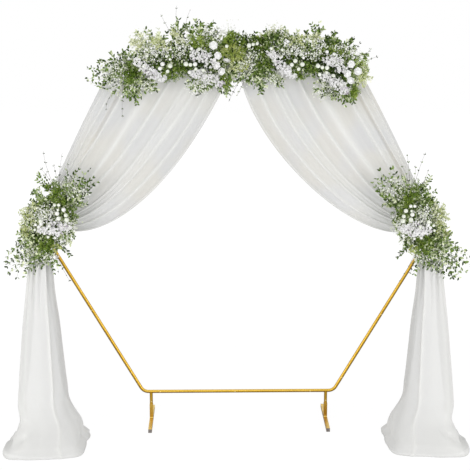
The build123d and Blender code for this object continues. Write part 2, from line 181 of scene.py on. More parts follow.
def dress(names, material):
    """Gives CAD nodes a material in all their slots."""
    for name in names:
        mesh = nodes[name].data
        mesh.materials.clear()
        mesh.materials.append(material)


TUBES = [name for name in nodes if name.endswith("_elbow") or "_tube_" in name or "_rail_" in name]
dress(TUBES, gold_paint("gold_tube_paint", *TUBE_GOLD))


# The joint screws: small pan-head machine screws, zinc plated and tinted gold, one on the front
# of each joint and of each foot's stub.

# The screws' gold as lit, middle and shaded tones of the same painted light and shade.
SCREW_GOLD = (0.90, 0.76, 0.40, 1), (0.80, 0.60, 0.22, 1), (0.50, 0.34, 0.10, 1)

dress(["joint_screws"], gold_paint("gold_screw", *SCREW_GOLD))


# The feet: a square post welded on a square bar, in the same gold paint as the tubes, and a grey
# moulded plug in each end of the bar.

# The feet's gold as lit, middle and shaded tones of the same painted light and shade.
FOOT_GOLD = (0.90, 0.66, 0.16, 1), (0.44, 0.24, 0.020, 1), (0.26, 0.14, 0.012, 1)
FEET = [name for name in nodes if name.endswith(("_foot_post", "_foot_bar"))]
dress(FEET, gold_paint("gold_foot_paint", *FOOT_GOLD))


def cap_plastic():
    """Grey moulded plastic with a fine eroded texture and scuffs."""
    finish = Finish("grey_cap_plastic")
    grain = finish.noise(900.0, 2.0)
    scuff = finish.noise(60.0, 4.0)
    finish.bump(grain, 0.0003, 0.3)
    tone = finish.ramp(scuff, (0.35, (0.14, 0.12, 0.11, 1)), (0.7, (0.26, 0.23, 0.21, 1)))
    return finish.paint(Base_Color=tone, Roughness=0.45 + scuff * 0.2)


dress([name for name in nodes if name.endswith("_foot_caps")], cap_plastic())


# The drapes: two panels of sheer white chiffon, each about 27 inches wide. One end is laid over the
# top rail, the panel fans down to the side corner, where it is gathered and bound in front of the
# tube, and the rest falls forward in a cone and lies in a loose heap on the floor.

PANEL_WIDTH = 0.69
PANEL_LENGTH = 2.85
CHIFFON_WARM = (0.618, 0.604, 0.560, 1)
CHIFFON_COOL = (0.588, 0.590, 0.590, 1)
# Lighter colour where the cloth lies doubled or in layers below the gather, also spread as painted light
# under the top flowers and above the gather.
CHIFFON_LAYERED_AND_LIT = (0.700, 0.700, 0.690, 1)
# Painted highlight colour along the fold crests.
CHIFFON_PAINTED_HIGHLIGHT = (0.79, 0.79, 0.77, 1)
SHEER = 0.88
THREADS = 900.0
ACROSS = 241
FLAP_ROWS, RAIL_ROWS, SWAG_ROWS, TURN_ROWS, TAIL_ROWS, HEM_ROWS = 9, 8, 120, 14, 120, 16

RAIL_LOW, RAIL_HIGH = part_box("top_rail_left")
TUBE_RADIUS = (RAIL_HIGH.z - RAIL_LOW.z) / 2
RAIL_Z = RAIL_HIGH.z - TUBE_RADIUS
PLANE_Y = (RAIL_LOW.y + RAIL_HIGH.y) / 2
BAND_LOW, BAND_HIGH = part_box("left_tie_band")
KNOT_X = -(BAND_LOW.x + BAND_HIGH.x) / 2
KNOT_Z = (BAND_LOW.z + BAND_HIGH.z) / 2
BAND_TOP = KNOT_Z + (BAND_HIGH.z - BAND_LOW.z) / 2
CORNER_X = KNOT_X / 2
HANG = TUBE_RADIUS + 0.004
FLAP = 0.105

# The inner edges' start on the rail and the handles of their curve, the outer edges' distance past
# the rail's corner and short of the knot, and how far each tail settles towards the middle.
INNER_EDGES = (0.012, (0.400, -0.880), (-0.165, -0.105)), (0.0, (0.0, -0.436), (-0.284, -0.220))
OUTER_EDGES = (0.145, 0.0), (0.100, 0.030)
SETTLE = 0.0, 0.036
SETTLE_FALL = 0.20
RAIL_SHARE = 0.78
END_DROP = 0.030
GATHER_INSET = 0.075
GATHER_RISE = 0.034, 0.100
STRAND_BOW = 0.018
SLACK_POWER = 1.25
TURN_HANDLE = 0.05

# Each fold runs the length of the panel: its place across from the inner edge and its width, both
# as shares of the panel, and its height beside the others.
SWAG_FOLDS = np.array([
    (0.012, 0.012, 0.8), (0.110, 0.015, 1.0), (0.165, 0.022, 0.3), (0.222, 0.014, 1.0),
    (0.262, 0.013, 0.4), (0.300, 0.014, 0.8), (0.362, 0.026, 0.3), (0.440, 0.016, 1.0),
    (0.560, 0.038, 1.0), (0.655, 0.024, 0.2), (0.755, 0.016, 1.0), (0.805, 0.014, 0.3),
    (0.872, 0.014, 0.9), (0.925, 0.016, 0.3), (0.957, 0.012, 0.7),
])
TAIL_FOLDS = np.array([
    (0.050, 0.030, 0.6), (0.165, 0.050, 0.6), (0.290, 0.040, 0.3), (0.398, 0.011, 1.1),
    (0.520, 0.060, 0.3), (0.660, 0.040, 0.5), (0.760, 0.045, 0.6), (0.900, 0.030, 0.8),
])
FLAP_FOLD, RAIL_FOLD, TAIL_FOLD = 0.008, 0.0035, 0.011
SWAG_FOLD_PLACES = np.array([0, 0.1, 0.4, 0.7, 0.9, 1])
SWAG_FOLD = np.array([0.0035, 0.008, 0.012, 0.012, 0.008, 0.007])
PLEATS = 8.5
PLEAT_DEPTH = 0.024
CRUMPLE = 0.004
# Rows of painted light against the flowers' shadow: how far into the fan the doubled flap's lighter colour
# fades out under the top flowers, and from how many rows above the gather to how many it rises to the
# layered colour.
BACKED_ROWS = 26
CLOSING_ROWS = 66, 8

# The falling cone, by height above the floor: its middle's distance outwards from the corner and
# forwards from the frame, its half width and half depth, how many degrees round it the panel wraps,
# how square it is, and how far its outer side leans forward of its inner one.
CONE = np.array([
    (1.142, 0.000, 0.047, 0.050, 0.026, 300, 2.0, 0.0),
    (1.116, 0.000, 0.047, 0.050, 0.026, 300, 2.0, 0.0),
    (1.080, 0.002, 0.052, 0.054, 0.034, 300, 2.0, 0.0),
    (0.930, 0.008, 0.088, 0.062, 0.052, 300, 2.0, 0.0),
    (0.820, 0.009, 0.113, 0.075, 0.064, 300, 2.0, 0.0),
    (0.650, 0.005, 0.149, 0.100, 0.080, 295, 2.0, 0.0),
    (0.486, 0.002, 0.184, 0.116, 0.096, 285, 2.0, 0.0),
    (0.321, -0.002, 0.218, 0.133, 0.110, 275, 2.1, 0.0),
    (0.190, -0.012, 0.248, 0.147, 0.128, 262, 2.3, 0.008),
    (0.118, -0.042, 0.285, 0.163, 0.160, 248, 2.8, 0.015),
    (0.072, -0.042, 0.315, 0.177, 0.198, 238, 4.6, 0.020),
    (0.040, -0.041, 0.330, 0.182, 0.235, 232, 7.0, 0.022),
])
# Creases of the heap's outer corner: place across the panel, height, half width, half height, depth.
CORNER_CREASES = (
    (0.67, 0.078, 0.022, 0.015, -0.026), (0.61, 0.080, 0.014, 0.020, 0.010),
    (0.70, 0.045, 0.045, 0.016, 0.014), (0.74, 0.085, 0.018, 0.020, 0.010),
)
HEM_ROLL, HEAP_ROLL = 0.011, 0.020
HEAP_PLACE, HEAP_WIDTH = 0.76, 0.10
HEM_REACH = 0.03
HEM_LIFT = 0.001


def ease(first, last, place):
    """An S-shaped step from 0 to 1: the smooth cubic of how far place has gone from first to last."""
    gone = np.clip((place - first) / (last - first), 0, 1)
    return gone * gone * (3 - 2 * gone)


def mix(first, last, share):
    """A straight mix of two numbers or arrays by a share from 0 to 1."""
    return first + (last - first) * share


def bell(place, middle, width):
    """A hump of height 1: e to the minus square of the distance from the middle over the width."""
    return np.exp(-(((place - middle) / width) ** 2))


def through(places, values, place):
    """A smooth curve through set values: the Hermite cubic with each value's own mean slope."""
    index = np.clip(np.searchsorted(places, place, side="right") - 1, 0, len(places) - 2)
    span = places[index + 1] - places[index]
    share = (place - places[index]) / span
    slopes = np.gradient(values, places)
    low, high = values[index], values[index + 1]
    rise, fall = slopes[index] * span, slopes[index + 1] * span
    cubic = 2 * (low - high) + rise + fall
    square = 3 * (high - low) - 2 * rise - fall
    return ((cubic * share + square) * share + rise) * share + low


def bezier(share, *posts):
    """A cubic Bezier curve: its four posts weighted by the binomial terms of the share."""
    rest = 1 - share
    weights = rest**3, 3 * share * rest**2, 3 * share**2 * rest, share**3
    return sum(weight * post for weight, post in zip(weights, posts))


def fold_height(u, folds):
    """Height across the panel: each fold adds its height / (1 + (distance / width) squared)."""
    distance = (u[..., None] - folds[:, 0]) / folds[:, 1]
    return (folds[:, 2] / (1 + distance**2)).sum(-1)


def ripple(u, v, seed, waves=7, fine=6.0):
    """Crumple between about -1 and 1: a mean of sine waves that run in seeded directions."""
    dice = np.random.default_rng(seed)
    total = 0
    for _ in range(waves):
        across, down, phase = dice.normal(0, fine), dice.normal(0, fine), dice.uniform(0, 2 * np.pi)
        total = total + np.sin(2 * np.pi * (across * u + down * v) + phase)
    return total / math.sqrt(waves)


def spread(*parts):
    """Points from arrays or numbers for their three directions, each spread over the others' rows."""
    return np.stack(np.broadcast_arrays(*parts), -1)


def mesh_piece(name, points, faces, uv=None, **marks):
    """A mesh object from arrays of points and of faces with equal sides, and per-point numbers."""
    mesh = bpy.data.meshes.new(name)
    mesh.vertices.add(len(points))
    mesh.vertices.foreach_set("co", np.ascontiguousarray(points, np.float32).ravel())
    mesh.loops.add(faces.size)
    mesh.loops.foreach_set("vertex_index", faces.astype(np.int32).ravel())
    mesh.polygons.add(len(faces))
    mesh.polygons.foreach_set("loop_start", np.arange(0, faces.size, faces.shape[1], dtype=np.int32))
    mesh.update(calc_edges=True)
    mesh.shade_smooth()
    for key, values in marks.items():
        mark = mesh.attributes.new(key, "FLOAT", "POINT")
        mark.data.foreach_set("value", values.astype(np.float32).ravel())
    if uv is not None:
        corners = uv.reshape(-1, 2)[faces.ravel()].astype(np.float32)
        mesh.uv_layers.new(name="UVMap").data.foreach_set("uv", corners.ravel())
    piece = bpy.data.objects.new(name, mesh)
    bpy.context.collection.objects.link(piece)
    return piece


def grid_faces(rows, columns):
    """The quads of a grid of points, each wound the same way."""
    corner = np.arange(rows * columns).reshape(rows, columns)
    quads = corner[:-1, :-1], corner[1:, :-1], corner[1:, 1:], corner[:-1, 1:]
    return np.stack(quads, -1).reshape(-1, 4)


def strand_posts(u, inner, outer):
    """Where each strand leaves the rail and meets the gather, with the two handles between. The
    inner edge sags in a long curve, and the handles swing from it to the nearly straight outer edge."""
    start, high, low_handle = inner
    overhang, setback = outer
    slack = (1 - u)[:, None] ** SLACK_POWER
    bow = np.array([STRAND_BOW, 0.0])
    top = spread(mix(start, CORNER_X + overhang, u), RAIL_Z - END_DROP * ease(RAIL_SHARE, 1.0, u))
    rise = mix(KNOT_Z + GATHER_RISE[0], KNOT_Z + GATHER_RISE[1], u)
    low = spread(mix(KNOT_X - GATHER_INSET, KNOT_X - setback, u), rise)
    third = (low - top) / 3
    upper = top + mix(third + bow, np.array(high), slack)
    lower = low + mix(bow - third, np.array(low_handle), slack)
    return top, upper, lower, low


def cone(u, height):
    """Points of the falling cone: a super-ellipse about its middle, wrapped by part of a turn, with
    the outward direction at each point."""
    levels, *columns = CONE[::-1].T
    outward, forward, wide, deep, wrap, square, lean = (
        through(levels, column, height) for column in columns
    )
    turn = (u - 0.5) * np.radians(wrap)
    side, front = np.sin(turn), np.cos(turn)
    length = (np.abs(side) ** square + np.abs(front) ** square) ** (-1 / square)
    across, ahead = wide * side * length, deep * front * length + lean * side
    out = np.stack([side / wide, front / deep], -1)
    out /= np.linalg.norm(out, axis=-1, keepdims=True)
    return KNOT_X + outward + across, forward + ahead, out


def rail_rows(u, top, still):
    """The flap that hangs behind the rail, and the half turn over the rail."""
    share = np.linspace(1, 0, FLAP_ROWS, endpoint=False)[:, None]
    depth = FLAP * (1 - 0.7 * ease(RAIL_SHARE, 1, u)) * (1 + 0.06 * np.sin(11 * u))
    behind = -(HANG + FLAP_FOLD * still * (0.4 + 0.6 * share))
    turn = np.linspace(0, np.pi, RAIL_ROWS, endpoint=False)[:, None]
    radius = HANG + RAIL_FOLD * still
    over = spread(top[:, 0], -radius * np.cos(turn), top[:, 1] + radius * np.sin(turn))
    return np.concatenate([spread(top[:, 0], behind, top[:, 1] - depth * share), over])


def swag_rows(u, posts, seed):
    """The fan from the rail to the gather: each strand is a Bezier curve, and the folds stand
    forward of it and wander a little."""
    share = np.linspace(0, 1, SWAG_ROWS, endpoint=False)[:, None]
    inside = ease(0, 0.1, share) * (1 - ease(0.9, 1, share))
    height = fold_height(u + 0.006 * inside * ripple(0.6 * u, 0.25 * share, seed), SWAG_FOLDS)
    line = bezier(share[..., None], *posts)
    tall = through(SWAG_FOLD_PLACES, SWAG_FOLD, share)
    rolling = 0.004 * ease(0, 0.2, share) * (1 + ripple(0.5 * u, 0.2 * share, seed + 1))
    points = spread(line[..., 0], HANG + rolling + tall * height, line[..., 1])
    # Painted light: the fold heights are raised towards the gather, so that the fan is painted lighter
    # against the bouquet's shadow there.
    return points, height + 0.35 * ease(0.55, 0.95, share)


def turn_rows(u, posts, ahead):
    """The short turn from the fan down into the band: a Bezier curve that leaves along each strand
    and enters the band from straight above."""
    _, _, lower, low = posts
    neck_across, neck_ahead, _ = cone(u, np.full(1, BAND_TOP))
    arrive = spread(low[:, 0], ahead, low[:, 1])
    heading = spread(low[:, 0] - lower[:, 0], 0.0, low[:, 1] - lower[:, 1])
    heading *= TURN_HANDLE / np.linalg.norm(heading, axis=-1, keepdims=True)
    bound = spread(neck_across, neck_ahead, BAND_TOP)
    share = np.linspace(0, 1, TURN_ROWS, endpoint=False)[:, None, None]
    return bezier(share, arrive, arrive + heading, bound + np.array([0, 0, TURN_HANDLE]), bound)


def tail_rows(u, settle, seed):
    """The cone from the band to the floor: pleats that open below the band, soft folds down its
    length, and creases where it heaps. The height of the folds, with painted light added on the cone's outer
    side and over the heap, and the outward direction go along."""
    share = np.linspace(0, 1, TAIL_ROWS, endpoint=False)[:, None]
    level = mix(BAND_TOP, CONE[-1, 0], share)
    across, ahead, out = cone(u, level)
    across = across - settle * ease(KNOT_Z, KNOT_Z - SETTLE_FALL, level)
    pleats = np.abs(np.sin(PLEATS * np.pi * (u + 0.02 * np.sin(9 * u))))
    push = (pleats - 0.6) * PLEAT_DEPTH * (1 - ease(0.05, 0.5, share)) * ease(-0.02, 0.04, share)
    height = fold_height(u + 0.01 * ripple(0.4 * u, 0.2 * share, seed + 2), TAIL_FOLDS)
    push = push + (height - 0.5) * TAIL_FOLD * ease(0.02, 0.25, share) * (1 - 0.55 * ease(0.55, 1, share))
    push = push + ripple(1.2 * u, 0.9 * share, seed + 3) * CRUMPLE * ease(0.75, 1, share)
    for place, rise, wide, tall, deep in CORNER_CREASES:
        push = push + deep * bell(u + 0.8 * (level - rise), place, wide) * bell(level, rise, tall)
    points = spread(across + out[..., 0] * push, ahead + out[..., 1] * push, level)
    # Painted light: the cone is painted lighter on its outer side and over the heap at its foot.
    painted_tail_light = 0.30 * ease(0.45, 0.75, u) + 0.35 * ease(0.75, 1, share)
    return points, (height + painted_tail_light) * ease(0, 0.2, share), height[-1], out[-1]


def hem_rows(u, edge, out):
    """The hem: a roll that carries on outwards from the cone's edge and turns under itself."""
    roll = HEM_ROLL + HEAP_ROLL * bell(u, HEAP_PLACE, HEAP_WIDTH)
    turn = np.linspace(math.radians(60), math.radians(-90), HEM_ROWS)[:, None]
    reach = HEM_REACH + roll * (np.cos(turn) - 0.5)
    across, ahead = edge[:, 0] + out[:, 0] * reach, edge[:, 1] + out[:, 1] * reach
    return spread(across, ahead, roll * (1 + np.sin(turn)) + HEM_LIFT)


def drape_points(inner, outer, settle, seed):
    """A panel as a grid of (outwards, forwards, up), from its flap behind the rail to its hem, with the
    height of its folds, which paints highlights on their crests, plus painted light near the gather, on the
    tail's outer side and over the heap, and how thickly it lies at each point, by the flap behind it and
    below the gather, with painted light added under the top flowers and above the gather. The tail hangs
    nearer to the middle of the arch by the settle."""
    u = np.linspace(0, 1, ACROSS)
    posts = strand_posts(u, inner, outer)
    still = fold_height(u, SWAG_FOLDS)
    over = rail_rows(u, posts[0], still)
    swag, swag_light = swag_rows(u, posts, seed)
    turn = turn_rows(u, posts, swag[-1, :, 1])
    tail, tail_light, last_height, out = tail_rows(u, settle, seed)
    hem = hem_rows(u, tail[-1], out)
    # Painted light for the rows with no fold pass of their own: painted highlights from the fold heights
    # over the rail and in the turn, and the hem's last fold height with painted light added over the heap.
    over_light, turn_light, hem_light = (
        np.broadcast_to(painted_light, (len(block), ACROSS))
        for painted_light, block in ((0.5 * still, over), (still, turn), (0.5 * last_height + 0.35, hem))
    )
    points = np.concatenate([over, swag, turn, tail, hem])
    rows = np.arange(len(points))[:, None]
    bound_row = len(over) + len(swag)
    # Painted light, partly real doubling: the flap and its turn over the rail lie doubled and are lighter,
    # fading as painted light down the fan under the top flowers; the fan turns lighter as painted light
    # above the gather, and all below it hangs in layers.
    flap_and_painted_light = 0.8 * (1 - ease(len(over), len(over) + BACKED_ROWS, rows))
    gather_and_painted_light = ease(bound_row - CLOSING_ROWS[0], bound_row - CLOSING_ROWS[1], rows)
    doubling_and_painted_light = np.maximum(flap_and_painted_light, gather_and_painted_light) + np.zeros(ACROSS)
    return points, np.concatenate([over_light, swag_light, turn_light, tail_light, hem_light]), doubling_and_painted_light


def chiffon():
    """Sheer white cloth with a fine woven grain: a painted highlight along its fold crests, whiter where the
    flap doubles it and below the gather, where it hangs in several layers, and painted light under the top
    flowers, towards the gather, on the tail's outer side and over the heap."""
    finish = Finish(
        "white_chiffon", Roughness=0.7, Sheen_Weight=0.25, Sheen_Roughness=0.4, Specular_IOR_Level=0.2
    )
    # Painted light: the mark lifts the fold crests into a painted highlight and adds painted light near the
    # gather, on the tail's outer side and over the heap, and the same mark makes the cloth a little less
    # sheer.
    lit = finish.stretch(finish.mark("painted_light"), 0.25, 1.1)
    cloud = finish.noise(5.0, 2.0)
    drift = finish.stretch(finish.noise(4.0, 1.0), 0.42, 0.60)
    single = finish.blend(drift, CHIFFON_WARM, CHIFFON_COOL)
    # Painted light, partly real: the lighter layered colour where the cloth lies doubled or in layers, and
    # as painted light under the top flowers and above the gather.
    single = finish.blend(finish.mark("doubled_and_painted_light"), single, CHIFFON_LAYERED_AND_LIT)
    tone = finish.blend(lit * 0.85 + cloud * 0.15, single, CHIFFON_PAINTED_HIGHLIGHT)
    weave = finish.add("ShaderNodeUVMap")
    stretched = finish.add("ShaderNodeMapping", {}, {"Vector": weave, "Scale": (1.0, 0.25, 1.0)})
    threads = finish.noise(THREADS, 1.0, stretched)
    finish.bump(threads, 0.0002, 0.3)
    return finish.paint(Base_Color=tone, Alpha=SHEER + lit * 0.08 + (threads - 0.5) * 0.05)


CHIFFON_FINISH = chiffon()
for name, side, inner, outer, settle, seed in zip(
    ("left", "right"), (-1, 1), INNER_EDGES, OUTER_EDGES, SETTLE, (21, 31)
):
    panel, painted_light, doubled_and_painted_light = drape_points(inner, outer, settle, seed)
    rows = len(panel)
    placed = np.stack([side * panel[..., 0], PLANE_Y - panel[..., 1], panel[..., 2]], -1)
    lengths = np.linspace(0, PANEL_LENGTH, rows)
    flat = np.stack(np.meshgrid(np.linspace(0, PANEL_WIDTH, ACROSS), lengths), -1)
    faces = grid_faces(rows, ACROSS)[:, ::side]
    marks = {"painted_light": painted_light, "doubled_and_painted_light": doubled_and_painted_light}
    piece = mesh_piece(f"{name}_drape", placed.reshape(-1, 3), faces, flat, **marks)
    piece.data.materials.append(CHIFFON_FINISH)
    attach(piece, "root")
    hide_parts(f"{name}_drape_swag", f"{name}_drape_tail")


# The flowers: four arrangements of artificial greenery and blossoms, each tied to a long wired stem.
# Moulded leaves are pushed on thin plastic sprigs in pairs; ferns, lilac florets, ball flowers and
# roses are bunched in front of them, and bare twigs stand out of the top and the bottom.

FRONT = np.array([0, 0, 1.0])
STRANDS = 2
SPRIG_RADIUS, TWIG_RADIUS = 0.0008, 0.0011
LEAF_LENGTH, LEAF_NARROW, LEAF_ANGLE = 0.0225, 0.48, 0.72
TWIG_LEAF_LENGTH, TWIG_LEAF_NARROW = 0.013, 0.42
CLUMP_SWELL = 0.03
BLOOM_FORWARD = 0.115


def layout(**lists):
    """Lists as arrays, with their lengths, which are at most the first five columns, in metres."""
    plan = {kind: np.array(rows, float) for kind, rows in lists.items()}
    for rows in plan.values():
        rows[:, :5] /= 100
    return plan


# Lengths in the lists are centimetres from the arrangement's middle, along it and up it. Sprays and
# twigs have a root, a tip, and how far forward the tip stands, and sprays their tint. Core, fill,
# ferns, limes, seeds and florets are clumps: middle, half width, half height, how far forward, how
# many pieces, and their tint. Balls and roses are place along, place up and diameter.
TOP = layout(
    sprays=[
        (-19, -9, -39, -6, 4, .35), (-19, -9, -39, -13, 5, .35), (-19, -7, -33, -3, 4, .55),
        (-19, -6, -27, 2, 3, .55), (-20, -11, -33, -16, 5, .55), (-19, -9, -36, -10, 7, .55),
        (-19, -12, -26, -19, 5, .55), (-19, -5, -22, 2, 4, .55), (-18, -5, -18, 4, 4, .55),
        (-20, -9, -30, -6, 8, .55), (-19, -9, -30, -12, 9, .55), (-18, -7, -26, -3, 7, .55),
        (-17, -14, -13, -25, 5, .35), (-17, -14, -17, -22, 6, .35), (-16, -14, -11, -21, 6, .55),
        (-18, -13, -20, -20, 5, .55), (-10, -12, -4, -15, 7, .55), (-10, -12, -6, -18, 7, .55),
        (-10, -12, -9, -18, 6, .55), (-12, -11, -3, -18, 5, .55), (-6, 3, -12, 12, 4, .95),
        (-6, 3, -15, 8, 4, .95), (-4, 4, -8, 14, 3, .95), (-1, 4, -1, 14, 4, .95), (-1, 4, 3, 12, 5, .55),
        (0, 2, -4, 11, 6, .55), (8, 7, 6, 17, 4, .35), (9, 7, 9, 18, 5, .55), (10, 7, 12, 16, 4, .55),
        (18, 8, 15, 17, 4, .55), (18, 8, 19, 19, 5, .35), (19, 8, 22, 17, 4, .55), (25, 7, 23, 16, 4, .55),
        (25, 7, 28, 18, 5, .55), (26, 6, 30, 15, 4, .35), (23, -13, 15, -12, 6, .55),
        (23, -14, 16, -17, 6, .55), (23, -14, 20, -20, 6, .35), (23, -14, 25, -17, 7, .55),
        (34, -11, 32, -18, 6, .55), (34, -11, 37, -19, 6, .35), (34, -10, 35, -18, 8, .55),
        (35, -8, 39, -13, 5, .55), (33, 6, 38, 12, 5, .55), (34, 4, 41, 4, 5, .95), (34, 0, 41, -5, 5, .95),
    ],
    core=[
        (-8, -3, 8, 6, 5, 120, .1), (4, -3, 9, 5.5, 6, 140, .1), (15, -2, 8, 6.5, 6, 140, .1),
        (26, -2, 8, 8, 6, 160, .1), (31, 0, 4.5, 7, 6, 56, .1), (-17, -8, 7, 5, 5, 80, .1),
    ],
    fill=[
        (-8, 2, 8, 5, 7, 26, .6), (4, 4, 8, 5, 7, 44, .45), (15, 5, 8, 5, 7, 52, .35),
        (27, 7, 7, 5, 7, 36, .5), (8, -6, 10, 4, 7, 34, .5), (30, -9, 6, 6, 7, 38, .5),
        (34, 0, 5, 8, 7, 22, .8), (-16, -6, 7, 6, 7, 36, .6), (-14, -13, 6, 4, 7, 28, .6),
    ],
    ferns=[
        (-15.5, -9, 5.5, 6, 8, 56, .35), (5.5, -9.5, 4, 3.5, 9, 26, .5), (11, -6, 3.5, 3.5, 8, 20, .45),
        (20, 8, 6, 4.5, 8, 34, .85), (35, 4, 5, 6, 8, 26, .9), (28, -14, 4, 3, 7, 16, .5),
        (35, -13, 3, 3.5, 9, 24, .65), (-2, -1, 5, 4, 6, 20, .35), (10, 2, 5, 4, 6, 20, .6),
        (30, -3, 5, 6, 5, 30, .5),
    ],
    limes=[
        (-11, 7, 5, 5, 8, 24, .9), (0, 7, 4.5, 3, 9, 16, .6), (39, -3, 3.5, 6, 8, 26, .7),
        (9, 10, 4, 4, 8, 12, .8),
    ],
    seeds=[
        (-25, -8, 8, 6, 8, 300, .6), (11, 5, 5, 6, 10, 160, .7), (-21, -17, 7, 4, 6, 120, .6),
        (-7, 2, 8, 5, 9, 210, .8), (28, 12, 6, 3, 8, 140, .7), (1, 2, 6, 4, 9, 130, .8),
        (-8, -15, 5, 3, 8, 110, .6), (20, -16, 6, 4, 8, 130, .6), (-12, 9, 6, 4, 7, 80, .7),
        (31, -10, 5, 6, 8, 90, .6),
    ],
    florets=[
        (-12.5, -2, 2.4, 2.2, 12.5, 40, .7), (-9.5, -4.5, 3, 2.6, 13, 50, .65),
        (-6.5, -6.8, 3.2, 2.4, 13, 52, .6), (-3, -9, 3.2, 2.4, 13, 54, .6),
        (.5, -11, 2.8, 1.8, 12.5, 36, .7), (21, 1, 5.6, 3.4, 12.5, 124, .6), (26, -3, 3, 2.6, 12.5, 44, .6),
        (20, -8.5, 4.2, 2.4, 12.5, 70, .6), (26, -11, 4.8, 3, 12.5, 98, .6),
        (31, -13.5, 3.2, 2.2, 11.5, 52, .5),
    ],
    balls=[
        (1, -3.3, 2.3), (-.4, -5.7, 2.1), (3.7, -7.2, 1.9), (5.1, -4.3, 2.4), (3.3, .8, 1.6), (5, -.8, 1.4),
        (13.5, -3.3, 2.5), (15.9, -3.7, 2.0), (18.4, -3.4, 2.3), (18.8, -6, 1.8), (22.7, -6.7, 1.9),
        (15.4, -7.7, 2.0), (16.5, 4.9, 1.8), (20.5, 4.5, 1.8), (35.3, 6.1, 1.8), (-2, 1.5, 1.4),
        (-7, 1.0, 1.4),
    ],
    roses=[
        (28.2, 6.6, 4.9), (30.6, 1.2, 4.4), (35.1, -1.8, 4.6), (29.8, -4.2, 4.6), (32.4, -7.2, 4.4),
        (28.5, -1.4, 2.6),
    ],
    twigs=[
        (9, 7, 0, 22.5, 3), (11, 7, 8.6, 27, 4), (12, 7, 16, 25, 3), (-21, -14, -30, -29, 2),
        (-21, -14, -21.5, -33, 3), (-20, -14, -14, -27, 2), (-20, -14, -17, -24, 3), (14, 6, 21, 20, 3),
    ],
)
BOUQUET = layout(
    sprays=[
        (-2, -8, -20, -24, 6, .4), (-2, -8, -12, -26, 7, .45), (-3, -8, -22, -17.5, 8, .4),
        (12, 13, 27, 29, 8, .5), (11, 14, 25, 33, 4, .35), (11, 14, 29, 26, 5, .35),
        (10, 15, 19, 33, 4, .35), (10, 15, 13, 30, 4, .55), (12, 13, 24, 20, 6, .35),
        (12, 12, 23, 14, 5, .55), (11, 14, 22, 28, 7, .55), (10, 15, 17, 26, 8, .55),
        (12, 12, 20, 19, 8, .55), (12, 11, 17, 14, 7, .55), (5, 18, -3, 30, 3, .55), (5, 18, 1, 25, 4, .35),
        (1, 15, -6, 21, 4, .55), (1, 15, -3, 23, 4, .55), (0, 13, -7, 16, 5, .55), (7, -2, 15, -3, 5, .55),
        (7, -3, 13, -8, 5, .55), (6, -3, 10, -8, 6, .55), (8, -1, 15, 0, 6, .55), (10, 5, 17, 7, 5, .55),
        (-2, -7, -16, -8, 4, .35), (-2, -8, -22, -22, 4, .35), (-2, -8, -17, -27.5, 4, .35),
        (-1, -8, -7, -25, 5, .35), (-2, -8, -17, -15, 6, .55), (-2, -6, -12, -4, 5, .55),
        (-2, -8, -12, -17, 8, .55), (-1, -9, -9, -21, 8, .55), (-2, -7, -12, -11, 8, .55),
        (1, -10, -3, -22, 5, .55), (2, -10, 4, -25, 4, .55), (1, -10, 1, -18, 7, .55),
        (0, -9, -5, -15, 9, .55), (6, -8, 13, -14.5, 5, .35),
    ],
    core=[
        (6, 12, 7, 8, 6, 150, .1), (-1, 5, 8, 7, 6, 140, .1), (6, 2, 7, 6, 6, 100, .1),
        (-1, -6, 6, 6, 6, 100, .1), (9, 17, 5, 5, 5, 60, .1),
    ],
    fill=[
        (5, 14, 8, 8, 7, 50, .55), (-4, 7, 7, 7, 7, 46, .65), (10, 6, 6, 7, 7, 36, .5),
        (2, -6, 7, 6, 7, 40, .5), (-6, -10, 7, 6, 7, 36, .6), (14, 18, 6, 6, 6, 36, .7),
        (10, -3, 5, 4, 7, 24, .65), (-10.5, -3, 4, 6, 7, 34, .6),
    ],
    ferns=[
        (8.5, 19, 4.5, 6, 8, 50, .5), (1, -8, 5, 5, 9, 50, .45), (13, 8, 4, 4, 7, 20, .5),
        (3, 11, 4, 4, 6, 20, .4), (-3, 13, 3.5, 3, 7, 18, .6), (4, 24, 3, 3, 6, 16, .5),
    ],
    limes=[
        (-9.5, 7, 3.5, 6.5, 8, 34, .55), (-6, 12, 3.5, 3, 8, 14, .8), (5.7, -10, 1.8, 2.4, 9, 10, .1),
        (-10.5, 0, 3, 4, 8, 16, .5),
    ],
    seeds=[
        (1, 9, 5, 5, 10, 240, .7), (17, 22, 7, 7, 7, 240, .65), (-9, -14, 8, 8, 7, 270, .7),
        (1, -14, 5, 4, 8, 120, .6), (14, 3, 4, 5, 9, 120, .6), (-8, 8, 5, 6, 8, 180, .6),
        (10, 23, 6, 5, 7, 110, .45), (9, -5, 5, 5, 8, 110, .7),
    ],
    florets=[
        (11.5, 2.5, 3.8, 2.4, 12.5, 78, .6), (7, .3, 4.2, 2.5, 13.5, 84, .6),
        (2.5, .4, 3.8, 2.3, 13, 74, .6), (-1.2, .8, 2.4, 1.8, 12.5, 50, .6), (5, 4.2, 4, 2, 11, 40, .6),
    ],
    balls=[
        (6.3, 14.7, 1.7), (8.5, 14.7, 1.8), (11.1, 12.1, 2.3), (7.5, 10, 2.3), (12.2, 9, 2.1),
        (8.2, 7.2, 2.4), (12.6, 6.4, 2.5), (8, 12, 1.4), (-1.6, 5.8, 2.2), (-2.6, 2.6, 1.8),
        (-4.4, 3.8, 1.5), (-4.9, 1, 1.5), (2.2, -3.1, 1.6), (3, 3, 1.8), (6, -3.5, 1.5),
    ],
    roses=[(-1.2, 4.2, 2.8)],
    twigs=[
        (6, 22, 0, 43, 3), (8, 22, 10.3, 42, 3), (5, 22, -2, 34, 3), (7, 22, 5.5, 36, 4),
        (3, -12, 12.2, -31, 1), (3, -12, 6, -26, 2), (7, 20, 13, 36, 2),
    ],
)
